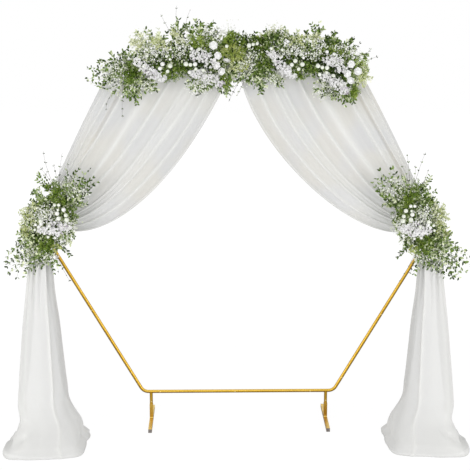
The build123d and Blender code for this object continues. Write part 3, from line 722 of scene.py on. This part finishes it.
REACHING = layout(
    sprays=[
        (-4, -8, -26, -15, 5, .35), (-4, -8, -27, -20, 5, .35), (-3, -9, -24, -24, 5, .55),
        (-3, -9, -20, -27, 6, .35), (-3, -8, -22, -12, 6, .55), (-3, -8, -18, -19, 7, .55),
    ],
)
END = layout(
    sprays=[
        (-28, -6, -36, 2, 4, .35), (-26, -6, -28, 4, 4, .35), (-24, -4, -22, 5, 5, .55),
        (-20, -3, -16, 8, 5, .35), (-30, -6, -39, -1, 6, .55), (-26, -12, -27, -21, 3, .35),
        (-25, -12, -22, -18, 4, .55), (-22, -12, -18, -17, 5, .55), (-28, -10, -31, -16, 5, .55),
    ],
    core=[(-27, -4, 9, 6, 5, 120, .15), (-24, -10, 7, 3, 5, 50, .1)],
    fill=[
        (-27, 0, 9, 5, 7, 46, .25), (-34, -3, 5, 6, 7, 30, .4), (-22, 1, 6, 4, 8, 30, .2),
        (-12, 5, 7, 5, 10, 44, .25),
    ],
    ferns=[
        (-35.5, 1, 3.2, 3.5, 9, 26, .7), (-28.5, 0, 4, 3, 9, 26, .6), (-19, 2, 5, 3, 9, 30, .45),
        (-30, -7, 6, 5, 8, 40, .85),
    ],
    limes=[(-33, -6, 5.5, 4.5, 10, 44, .12), (-27, -10, 5, 4, 9, 26, .3), (-18, 3, 5, 4, 8, 20, .3)],
    seeds=[(-26, 0, 9, 5, 9, 90, .7), (-24, -12, 6, 4, 9, 100, .6), (-38, 5, 4, 4, 8, 50, .8)],
    balls=[(-24.9, -.4, 2.3), (-22.9, .6, 1.8), (-20.8, 1.4, 1.8), (-13, .5, 1.7)],
    twigs=[
        (31, 4, 34, 13, 4), (34, 4, 40, 11, 4), (35, 2, 45, 8, 4), (-24, -16, -29, -33, 2),
        (-22, -16, -25.5, -29, 3),
    ],
)


def lowered(rows, between, above, drop, place=0):
    """A copy of a list whose rows between two places along and above a height stand lower."""
    along, up = rows[:, place], rows[:, place + 1]
    moved = rows.copy()
    moved[(along > between[0]) & (along < between[1]) & (up > above), place + 1] -= drop
    return moved


# The right top arrangement stands lower at its outer end, with one rose less, and its inner end is
# bushier and reaches over the left one's. The right bouquet is tied further in, so that its
# middle sprays on the inner side are left off, and its lowest reach as far out all the same.
OUTER_END = 0.24, 0.50
LOWER = TOP | {
    "sprays": lowered(
        lowered(TOP["sprays"], (0.14, 0.50), 0.03, 0.05, place=2), (-0.50, 0.05), 0.07, 0.03, place=2
    ),
    "core": lowered(TOP["core"], OUTER_END, -0.50, 0.03),
    "fill": lowered(TOP["fill"], OUTER_END, -0.50, 0.035),
    "ferns": lowered(TOP["ferns"], (0.14, 0.50), 0.03, 0.035),
    "seeds": lowered(TOP["seeds"], OUTER_END, 0.11, 0.05),
    "roses": TOP["roses"][1:],
}
BUSHY = {kind: np.concatenate([rows, END[kind]]) if kind in END else rows for kind, rows in LOWER.items()}
BUSHY["twigs"] = END["twigs"]
ALONG, UP = BOUQUET["sprays"][:, 2], BOUQUET["sprays"][:, 3]
INNER = (ALONG > 0.12) & (abs(UP) < 0.09)
WIDE = BOUQUET | {"sprays": np.concatenate([BOUQUET["sprays"][~INNER], REACHING["sprays"]])}

# A leaf and a fern's blade: corners along, across and above, for a length of one, and triangles.
LEAF_SHAPE = (
    np.array([
        (0, 0, 0), (0.32, 0.5, 0.09), (0.35, 0, 0), (0.32, -0.5, 0.09), (0.75, 0.42, 0.02), (0.72, 0, -0.04),
        (0.75, -0.42, 0.02), (1, 0, -0.12),
    ]),
    np.array([(0, 2, 1), (0, 3, 2), (1, 2, 5), (1, 5, 4), (3, 6, 5), (3, 5, 2), (4, 5, 7), (6, 7, 5)]),
)
BLADE_SHAPE = (
    np.array([(0, 0.3, 0), (0, -0.3, 0), (0.55, 0.5, 0.10), (0.55, -0.5, 0.10), (1, 0, -0.05)]),
    np.array([(0, 1, 3), (0, 3, 2), (2, 3, 4)]),
)


def unit(vectors):
    """Vectors brought to length one."""
    return vectors / np.maximum(np.linalg.norm(vectors, axis=-1, keepdims=True), 1e-9)


def ring_faces(rings, around):
    """Triangles between closed rings of points: two for each quad of the grid that wraps round."""
    corner = np.arange(rings * around).reshape(rings, around)
    beside = np.roll(corner, -1, axis=1)
    halves = (corner[:-1], beside[:-1], beside[1:]), (corner[:-1], beside[1:], corner[1:])
    return np.concatenate([np.stack(half, -1).reshape(-1, 3) for half in halves])


def globe(radius, polar, turn, middle=0.0):
    """Points on a round form about its third axis: the radius by polar angle and turn."""
    ring = radius * np.sin(polar)
    return spread(ring * np.cos(turn), ring * np.sin(turn), middle + radius * np.cos(polar)).reshape(-1, 3)


def petals(count, cup, narrow, start=0.12, shoulder=0.62):
    """A small flower that faces along its third axis: round petals about a middle, each of four
    triangles and widest at the shoulder, lifted towards their tips by the cup."""
    turns = np.arange(count) * 2 * np.pi / count
    half = np.pi / count * narrow
    reach, swing, lift = np.array([
        (start, 0, 0.0), (shoulder, half, 0.45), (1.0, 0, 1.0), (shoulder, -half, 0.45), (0.66, 0, 0.30),
    ]).T
    angle = turns[:, None] + swing
    points = spread(reach * np.cos(angle), reach * np.sin(angle), cup * lift) / 2
    faces = np.array([(0, 4, 1), (0, 3, 4), (1, 4, 2), (3, 2, 4)]) + 5 * np.arange(count)[:, None, None]
    return points.reshape(-1, 3), faces.reshape(-1, 3)


def ball_flower(rings=9, around=20):
    """A ball of overlapping petals: a globe whose radius dips between petals set in staggered rings."""
    polar = np.linspace(0.02, 0.80, rings)[:, None] * np.pi
    turn = np.arange(around) * 2 * np.pi / around
    ring = np.arange(rings)[:, None]
    radius = 0.46 + 0.05 * np.abs(np.cos(turn * 2.5 + ring * 1.3)) + 0.025 * (ring % 2)
    return globe(radius, polar, turn), ring_faces(rings, around)[:, ::-1]


def rose(rings=9, around=24):
    """A rose that faces along its third axis: a bud whose radius rises along a three-armed spiral
    and drops at each petal's lip, in an upright ring of five petals and an open ring of six."""
    polar = np.linspace(0.02, 0.52, rings)[:, None] * np.pi
    turn = np.arange(around) * 2 * np.pi / around
    lip = (3 * turn / (2 * np.pi) + 2.6 * polar) % 1.0
    bud = globe(0.19 + 0.05 * lip + 0.03 * polar, polar, turn, 0.1)
    inner, inner_faces = petals(5, 0.80, 1.25, 0.30, 0.86)
    outer, outer_faces = petals(6, 0.34, 1.20, 0.25, 0.88)
    faces = ring_faces(rings, around)[:, ::-1], inner_faces + len(bud), outer_faces + len(bud) + len(inner)
    return np.concatenate([bud, 0.74 * inner, outer - np.array([0, 0, 0.05])]), np.concatenate(faces)


class Heap:
    """Many small shapes gathered into one mesh, each with its own tint from 0 to 1. Its points are
    (along, up, forward) from the middle of an arrangement."""

    def __init__(self):
        self.points, self.faces, self.tints, self.tips, self.total = [], [], [], [], 0

    def take(self, points, faces, tint, tip):
        """Adds an array of shapes: points by shape and corner, and one set of faces for them all."""
        count, corners = points.shape[:2]
        offsets = self.total + corners * np.arange(count)
        self.points.append(points.reshape(-1, 3))
        self.faces.append((faces + offsets[:, None, None]).reshape(-1, 3))
        self.tints.append(np.broadcast_to(np.reshape(tint, (-1, 1)), (count, corners)).ravel())
        self.tips.append(np.broadcast_to(tip, (count, corners)).ravel())
        self.total += count * corners

    def scatter(self, shape, places, heading, facing, sizes, tint):
        """Copies a shape to each place: its first axis along the heading, its third near the facing."""
        first = unit(heading)
        third = unit(facing - (facing * first).sum(-1, keepdims=True) * first)
        frames = np.stack([first, np.cross(third, first), third], -2)
        corners, faces = shape
        local = corners * np.reshape(sizes, (len(places), 1, -1))
        self.take(places[:, None] + local @ frames, faces, tint, np.linalg.norm(corners[:, :2], axis=-1))

    def rods(self, lines, thickness, tint, sides=4):
        """A thin round rod along each line of points, tapering to half its thickness at the tip."""
        count, steps = lines.shape[:2]
        run = unit(np.gradient(lines, axis=1))
        across = unit(np.cross(run, np.array([0.31, 0.30, 0.90])))
        above = np.cross(run, across)
        turn = np.arange(sides)[:, None] * 2 * np.pi / sides
        girth = thickness * np.linspace(1, 0.5, steps)[:, None, None]
        ring = across[:, :, None] * np.cos(turn) + above[:, :, None] * np.sin(turn)
        points = lines[:, :, None] + ring * girth
        self.take(points.reshape(count, -1, 3), ring_faces(steps, sides), tint, 0.0)

    def piece(self, name, placing, mirrored, material, slot, *replaced):
        """The whole heap as one named piece in the arch's own place."""
        faces = np.concatenate(self.faces)
        if mirrored:
            faces = faces[:, ::-1]
        marks = {"tint": np.concatenate(self.tints), "tip": np.concatenate(self.tips)}
        made = mesh_piece(name, placing(np.concatenate(self.points)), faces, **marks)
        made.data.materials.append(material)
        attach(made, "root")
        if replaced:
            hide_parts(*replaced)


def bowed(dice, roots, tips, bow, steps):
    """Bowed lines from roots to tips: the straight line plus a random bow times 4 t (1 - t)."""
    share = np.linspace(0, 1, steps)[:, None]
    length = np.linalg.norm(tips - roots, axis=-1)[:, None, None]
    bend = dice.normal(0, bow, (len(roots), 1, 3)) * length
    return roots[:, None] + (tips - roots)[:, None] * share + bend * 4 * share * (1 - share)


def leafed(heap, dice, lines, angle, size, narrow, tint, shape=LEAF_SHAPE, start=0.15):
    """Pairs of leaves along each line, turned out by the angle and smaller towards the tip."""
    run = unit(np.gradient(lines, axis=1))
    front = unit(FRONT + dice.normal(0, 0.45, (len(lines), 1, 3)))
    sideways = unit(np.cross(run, front + 0 * run))
    share = np.linspace(0, 1, lines.shape[1])
    keep = share >= start
    for hand in (-1, 1):
        swing = angle + dice.normal(0, 0.25, run.shape[:2] + (1,))
        heading = run * np.cos(swing) + hand * sideways * np.sin(swing)
        heading = (heading + dice.normal(0, 0.18, heading.shape))[:, keep].reshape(-1, 3)
        facing = (front + dice.normal(0, 0.5, run.shape))[:, keep].reshape(-1, 3)
        places = lines[:, keep].reshape(-1, 3)
        length = size * (1 - 0.15 * share[keep]) * dice.uniform(0.7, 1.25, (len(lines), keep.sum()))
        shade = np.reshape(tint, (-1, 1)) + 0.08 - 0.20 * share[keep] + dice.normal(0, 0.10, (len(lines), 1))
        tints = np.clip(shade.ravel() + dice.normal(0, 0.34, len(places)), 0, 1)
        heap.scatter(shape, places, heading, facing, length.reshape(-1, 1) * np.array([1, narrow, 1]), tints)


def clump_places(dice, clumps):
    """Random places on the swelling front of each clump, the outward direction there, the clump's
    middle and its tint."""
    places, outs, middles = [], [], []
    for along, up, wide, tall, forward, count, _ in clumps:
        disc = dice.uniform(0, 1, int(count)) ** 0.5
        turn = dice.uniform(0, 2 * np.pi, int(count))
        across, above = disc * np.cos(turn), disc * np.sin(turn)
        bulge = np.sqrt(np.maximum(1 - disc**2, 0))
        offset = np.stack([wide * across, tall * above, CLUMP_SWELL * (bulge - 1)], -1)
        middle = np.array([along, up, forward]) + 0 * offset
        places.append(middle + offset)
        outs.append(unit(np.stack([across, above, 0.35 + bulge], -1)))
        middles.append(middle)
    tints = np.repeat(clumps[:, 6], clumps[:, 5].astype(int))
    return np.concatenate(places), np.concatenate(outs), np.concatenate(middles), tints


def lay_sprays(heaps, dice, sprays):
    """Leafy sprays: bowed sprigs from near each root to its tip, the spare ones a little shorter."""
    roots = np.repeat(np.insert(sprays[:, :2], 2, 0.02, axis=1), STRANDS, axis=0)
    tips = np.repeat(sprays[:, 2:5], STRANDS, axis=0)
    spare = (np.arange(len(tips)) % STRANDS > 0)[:, None]
    roots = roots + dice.normal(0, 0.012, roots.shape)
    tips = tips + (0.003 + 0.014 * spare) * dice.normal(0, 1, tips.shape) - 0.15 * spare * (tips - roots)
    tips[:, 2] = np.maximum(tips[:, 2], 0.004)
    lines = bowed(dice, roots, tips, 0.07, 9)
    tints = np.repeat(sprays[:, 5], STRANDS)
    heaps["sprigs"].rods(lines, SPRIG_RADIUS, 0.4, sides=3)
    leafed(heaps["leaf_sprays"], dice, lines, LEAF_ANGLE, LEAF_LENGTH, LEAF_NARROW, tints)


def lay_fronds(heaps, dice, plan):
    """Ferns, lime leaves and loose leaves: leafed lines that fan from a clump's heart to its front."""
    for kind, clumps, steps, reach, size, narrow, shape in (
        ("ferns", "ferns", 15, 0.018, 0.015, 0.16, BLADE_SHAPE),
        ("lime_leaves", "limes", 8, 0.015, 0.012, 0.5, LEAF_SHAPE),
        ("leaf_sprays", "fill", 4, 0.012, 0.0205, 0.52, LEAF_SHAPE),
    ):
        places, outs, middles, tints = clump_places(dice, plan[clumps])
        base = middles + (places - middles) * 0.15 - 0.03 * FRONT
        lines = bowed(dice, base, places + outs * reach, 0.10, steps)
        leafed(heaps[kind], dice, lines, 0.78, size, narrow, tints + 0.1, shape, 0.1)


def lay_core(heap, dice, clumps):
    """Dark leaves at all angles in the depth of each clump, so that it isn't seen through."""
    places, outs, _, tints = clump_places(dice, clumps)
    places[:, 2] -= dice.uniform(0, 0.03, len(places))
    length = dice.uniform(0.020, 0.034, (len(places), 1)) * np.array([1, 0.55, 1])
    facing = outs + FRONT + dice.normal(0, 0.5, outs.shape)
    heading = dice.normal(0, 1, outs.shape)
    heap.scatter(LEAF_SHAPE, places, heading, facing, length, tints * dice.uniform(0, 2, len(places)))


def lay_small_flowers(heaps, dice, plan):
    """Florets of four petals and seed heads of three, scattered over their clumps and facing out."""
    for kind, clumps, shape, jitter, small, large in (
        ("florets", "florets", petals(4, 0.12, 1.0), 0.003, 0.011, 0.0155),
        ("seed_heads", "seeds", petals(3, 0.3, 1.1), 0.012, 0.007, 0.0125),
    ):
        places, outs, _, tints = clump_places(dice, plan[clumps])
        places = places + jitter * dice.normal(0, 1, places.shape)
        size = dice.uniform(small, large, (len(places), 1)) * np.ones(3)
        facing = outs + 1.5 * FRONT + dice.normal(0, 0.4, outs.shape)
        tints = np.clip(tints + dice.normal(0, 0.3, len(places)), 0, 1)
        heaps[kind].scatter(shape, places, dice.normal(0, 1, outs.shape), facing, size, tints)


def lay_large_flowers(heaps, dice, plan):
    """Ball flowers and roses, each at its own place in front of the leaves."""
    for kind, spots, shape in (("ball_flowers", "balls", ball_flower()), ("roses", "roses", rose())):
        places = np.insert(plan[spots][:, :2], 2, BLOOM_FORWARD, axis=1)
        facing = FRONT + dice.normal(0, 0.15, places.shape)
        size = plan[spots][:, 2:] * np.ones(3)
        heading = dice.normal(0, 1, places.shape)
        heaps[kind].scatter(shape, places, heading, facing, size, dice.uniform(0, 1, len(places)))


def lay_twigs(heaps, dice, twigs):
    """Bare twigs that bow out of the arrangement, with a few small leaves towards their tips."""
    bare = bowed(dice, np.insert(twigs[:, :2], 2, 0.02, axis=1), twigs[:, 2:], 0.06, 14)
    heaps["twigs"].rods(bare, TWIG_RADIUS, 0.7)
    leafed(
        heaps["leaf_sprays"], dice, bare[:, ::3], 0.7, TWIG_LEAF_LENGTH, TWIG_LEAF_NARROW, 0.10, start=0.45
    )


def tinted(name, dark, middle, light, roughness, half=0.5, throat=None):
    """Moulded plastic or silk whose colour runs from dark to light by each piece's own tint."""
    finish = Finish(name, Roughness=roughness, Specular_IOR_Level=0.15)
    tone = finish.ramp(finish.mark("tint"), (0.0, dark), (half, middle), (1.0, light))
    if throat:
        tone = finish.blend(finish.stretch(finish.mark("tip"), 0.06, 0.20), throat, tone)
    finish.bump(finish.noise(700.0, 2.0), 0.0003, 0.3)
    return finish.paint(Base_Color=tone)


LEAF_MID = (0.180, 0.280, 0.050, 1)
LEAF_PALE = (0.820, 0.870, 0.600, 1)
PETAL_WHITE = (0.95, 0.95, 0.94, 1)
PETAL_BRIGHT = (0.97, 0.97, 0.97, 1)
PETAL_CREAM = (0.86, 0.89, 0.79, 1)
PETAL_LILAC = (0.40, 0.33, 0.42, 1)
PETAL_THROAT = (0.36, 0.27, 0.36, 1)
TWIG_BROWN = (0.170, 0.140, 0.130, 1)
LEAF_TONES = (0.034, 0.062, 0.012, 1), LEAF_MID, LEAF_PALE
FERN_TONES = (0.028, 0.066, 0.005, 1), (0.130, 0.225, 0.020, 1), (0.420, 0.540, 0.110, 1)
LIME_TONES = (0.360, 0.420, 0.090, 1), (0.560, 0.620, 0.270, 1), (0.880, 0.900, 0.680, 1)
SEED_TONES = (0.58, 0.64, 0.40, 1), (0.86, 0.88, 0.78, 1), PETAL_WHITE
FLORET_TONES = PETAL_LILAC, PETAL_WHITE, PETAL_BRIGHT
TWIG_TONES = TWIG_BROWN, TWIG_BROWN, (0.420, 0.390, 0.420, 1)

# What each arrangement is made of: the piece's finish, its slot and the CAD node it stands for.
PIECES = {
    "leaf_sprays": (tinted("leaf_plastic", *LEAF_TONES, 0.5), "leaf_green", "leaves"),
    "ferns": (tinted("fern_plastic", *FERN_TONES, 0.55), "leaf_green"),
    "lime_leaves": (tinted("lime_plastic", *LIME_TONES, 0.55), "leaf_green"),
    "sprigs": (tinted("sprig_plastic", LEAF_MID, LEAF_MID, LEAF_PALE, 0.55), "leaf_green"),
    "seed_heads": (tinted("seed_plastic", *SEED_TONES, 0.7), "petal_white"),
    "florets": (tinted("floret_silk", *FLORET_TONES, 0.75, 0.22, PETAL_THROAT), "petal_white", "blossoms"),
    "ball_flowers": (tinted("ball_flower_silk", PETAL_CREAM, PETAL_CREAM, PETAL_WHITE, 0.75), "petal_white"),
    "roses": (tinted("rose_silk", PETAL_WHITE, PETAL_WHITE, PETAL_BRIGHT, 0.75), "petal_white"),
    "twigs": (tinted("twig_plastic", *TWIG_TONES, 0.65), "stem_brown", "stem"),
}


def arrangement(name, middle, turn, side, plan, seed):
    """One arrangement, laid out along, up and forward from its middle, then turned into its place."""
    dice = np.random.default_rng(seed)
    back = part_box(f"{name}_leaves")[1].y
    heaps = {kind: Heap() for kind in PIECES}

    def placing(points):
        along, up, forward = points.T
        x = middle[0] + math.cos(turn) * along - math.sin(turn) * up
        z = middle[1] + math.sin(turn) * along + math.cos(turn) * up
        return np.stack([side * x, back - forward, z], -1)

    lay_sprays(heaps, dice, plan["sprays"])
    lay_fronds(heaps, dice, plan)
    lay_core(heaps["leaf_sprays"], dice, plan["core"])
    lay_small_flowers(heaps, dice, plan)
    lay_large_flowers(heaps, dice, plan)
    lay_twigs(heaps, dice, plan["twigs"])
    for kind, (finish, slot, *standing) in PIECES.items():
        replaced = [f"{name}_{node}" for node in standing]
        heaps[kind].piece(f"{name}_{kind}", placing, side < 0, finish, slot, *replaced)


TOP_SEED, BOUQUET_SEED = 5, 8
arrangement("top_left", (-0.420, RAIL_Z + 0.029), 0.0, 1, TOP, TOP_SEED)
arrangement("top_right", (0.296, RAIL_Z + 0.046), math.radians(-12), 1, BUSHY, TOP_SEED)
arrangement("left_bouquet", (0.034 - KNOT_X, KNOT_Z + 0.045), 0.0, 1, BOUQUET, BOUQUET_SEED)
arrangement("right_bouquet", (0.080 - KNOT_X, KNOT_Z + 0.032), 0.0, -1, WIDE, BOUQUET_SEED)


# The green plastic straps that hold the two top arrangements to the rail, and the white ribbon that
# is wound round each side corner over the gathered drape and the bouquet's stem.

STRAP_DARK, STRAP_PALE = (0.03, 0.09, 0.02, 1), (0.06, 0.15, 0.04, 1)
SATIN_DARK, SATIN_PALE = (0.66, 0.65, 0.62, 1), (0.80, 0.79, 0.77, 1)


def strap_plastic():
    """Green moulded strap with fine ribs across it."""
    finish = Finish("strap_plastic", Roughness=0.5)
    tone = finish.ramp(finish.noise(40.0, 3.0), (0.3, STRAP_DARK), (0.7, STRAP_PALE))
    finish.bump(finish.noise(1200.0, 1.0), 0.0002, 0.3)
    return finish.paint(Base_Color=tone)


def ribbon_satin():
    """White ribbon, a little glossy, with a fine grain along it."""
    finish = Finish("ribbon_satin", Roughness=0.45)
    grain = finish.noise(600.0, 2.0, finish.place(1.0, 1.0, 6.0))
    finish.bump(grain, 0.0003, 0.4)
    return finish.paint(Base_Color=finish.ramp(grain, (0.3, SATIN_DARK), (0.7, SATIN_PALE)))


dress(["top_left_ties", "top_right_ties"], strap_plastic())
dress(["left_tie_band", "right_tie_band"], ribbon_satin())


# The stage: a plain pale floor under a white studio sky, a broad soft lamp on each side, one in
# front and above, and the camera where the photographer stood.

FLOOR_HALF = 14.0
FLOOR_FADE = 1.6, 5.0, 0.92
FLOOR_GLOW = 1.04
SKY_LEVEL = 0.56
CAMERA = (-0.1408, PLANE_Y - 6.8961, 2.6774)
CAMERA_PITCH = -12.85
CAMERA_YAW = -1.0
LENS_MM = 96.13


def sky():
    """White to the eye and to mirrors, and a plain even level of light on the object."""
    world = bpy.data.worlds.new("studio_sky")
    world.use_nodes = True
    tree = world.node_tree
    seen = tree.nodes.new("ShaderNodeLightPath")
    anyone = seen.outputs["Is Camera Ray"]
    for name in ("Is Glossy Ray", "Is Transmission Ray"):
        either = tree.nodes.new("ShaderNodeMath")
        either.operation = "MAXIMUM"
        tree.links.new(anyone, either.inputs[0])
        tree.links.new(seen.outputs[name], either.inputs[1])
        anyone = either.outputs[0]
    level = tree.nodes.new("ShaderNodeMapRange")
    level.inputs["To Min"].default_value = SKY_LEVEL
    level.inputs["To Max"].default_value = 1.0
    tree.links.new(anyone, level.inputs["Value"])
    background = tree.nodes["Background"]
    background.inputs["Color"].default_value = (1, 1, 1, 1)
    tree.links.new(level.outputs["Result"], background.inputs["Strength"])
    bpy.context.scene.world = world


def floor():
    """A level sheet under the arch that keeps the arch's shadow, and turns to plain white light
    between two distances from the middle."""
    corners = [(-1, -1), (1, -1), (1, 1), (-1, 1)]
    mesh = bpy.data.meshes.new("floor")
    mesh.from_pydata([(FLOOR_HALF * x, FLOOR_HALF * y, 0) for x, y in corners], [], [(0, 1, 2, 3)])
    piece = bpy.data.objects.new("floor", mesh)
    bpy.context.collection.objects.link(piece)
    finish = Finish("pale_floor", Base_Color=(0.92, 0.92, 0.92, 1), Roughness=0.9, Specular_IOR_Level=0.1)
    light = finish.add("ShaderNodeEmission", {}, {"Color": (1, 1, 1, 1), "Strength": FLOOR_GLOW})
    eye = finish.add("ShaderNodeLightPath", output="Is Camera Ray")
    away = finish.add("ShaderNodeVectorMath", {"operation": "LENGTH"}, {0: finish.place()}, "Value")
    white = finish.stretch(away, *FLOOR_FADE)
    shader = Value(finish, finish.shader.outputs[0])
    mixed = finish.add("ShaderNodeMixShader", {}, {0: eye * white, 1: shader, 2: light})
    finish.put(finish.tree.nodes["Material Output"], {"Surface": mixed})
    mesh.materials.append(finish.material)


def softbox(name, place, target, size, power):
    """A square area lamp at a place, aimed at a target."""
    lamp = bpy.data.lights.new(name, "AREA")
    lamp.shape = "SQUARE"
    lamp.size = size
    lamp.energy = power
    piece = bpy.data.objects.new(name, lamp)
    piece.location = place
    aim = [end - start for start, end in zip(place, target)]
    flat = math.hypot(aim[0], aim[1])
    piece.rotation_euler = (math.atan2(flat, -aim[2]), 0, math.atan2(-aim[0], aim[1]))
    bpy.context.collection.objects.link(piece)


def camera():
    """The photographer's view, from higher than the arch and looking a little down."""
    lens = bpy.data.cameras.new("photographer")
    lens.sensor_width = 36.0
    lens.lens = LENS_MM
    piece = bpy.data.objects.new("photographer", lens)
    piece.location = CAMERA
    piece.rotation_euler = (math.radians(90 + CAMERA_PITCH), 0, math.radians(CAMERA_YAW))
    bpy.context.collection.objects.link(piece)
    bpy.context.scene.camera = piece


sky()
floor()
for side in (-1, 1):
    softbox("side_light", (side * 3.6, -3.0, 1.3), (side, 0, 0.7), 2.0, 64)
softbox("front_light", (-0.6, -5.2, 4.4), (0, 0, 1.2), 3.0, 45)
camera()
bpy.context.scene.view_settings.view_transform = "Standard"
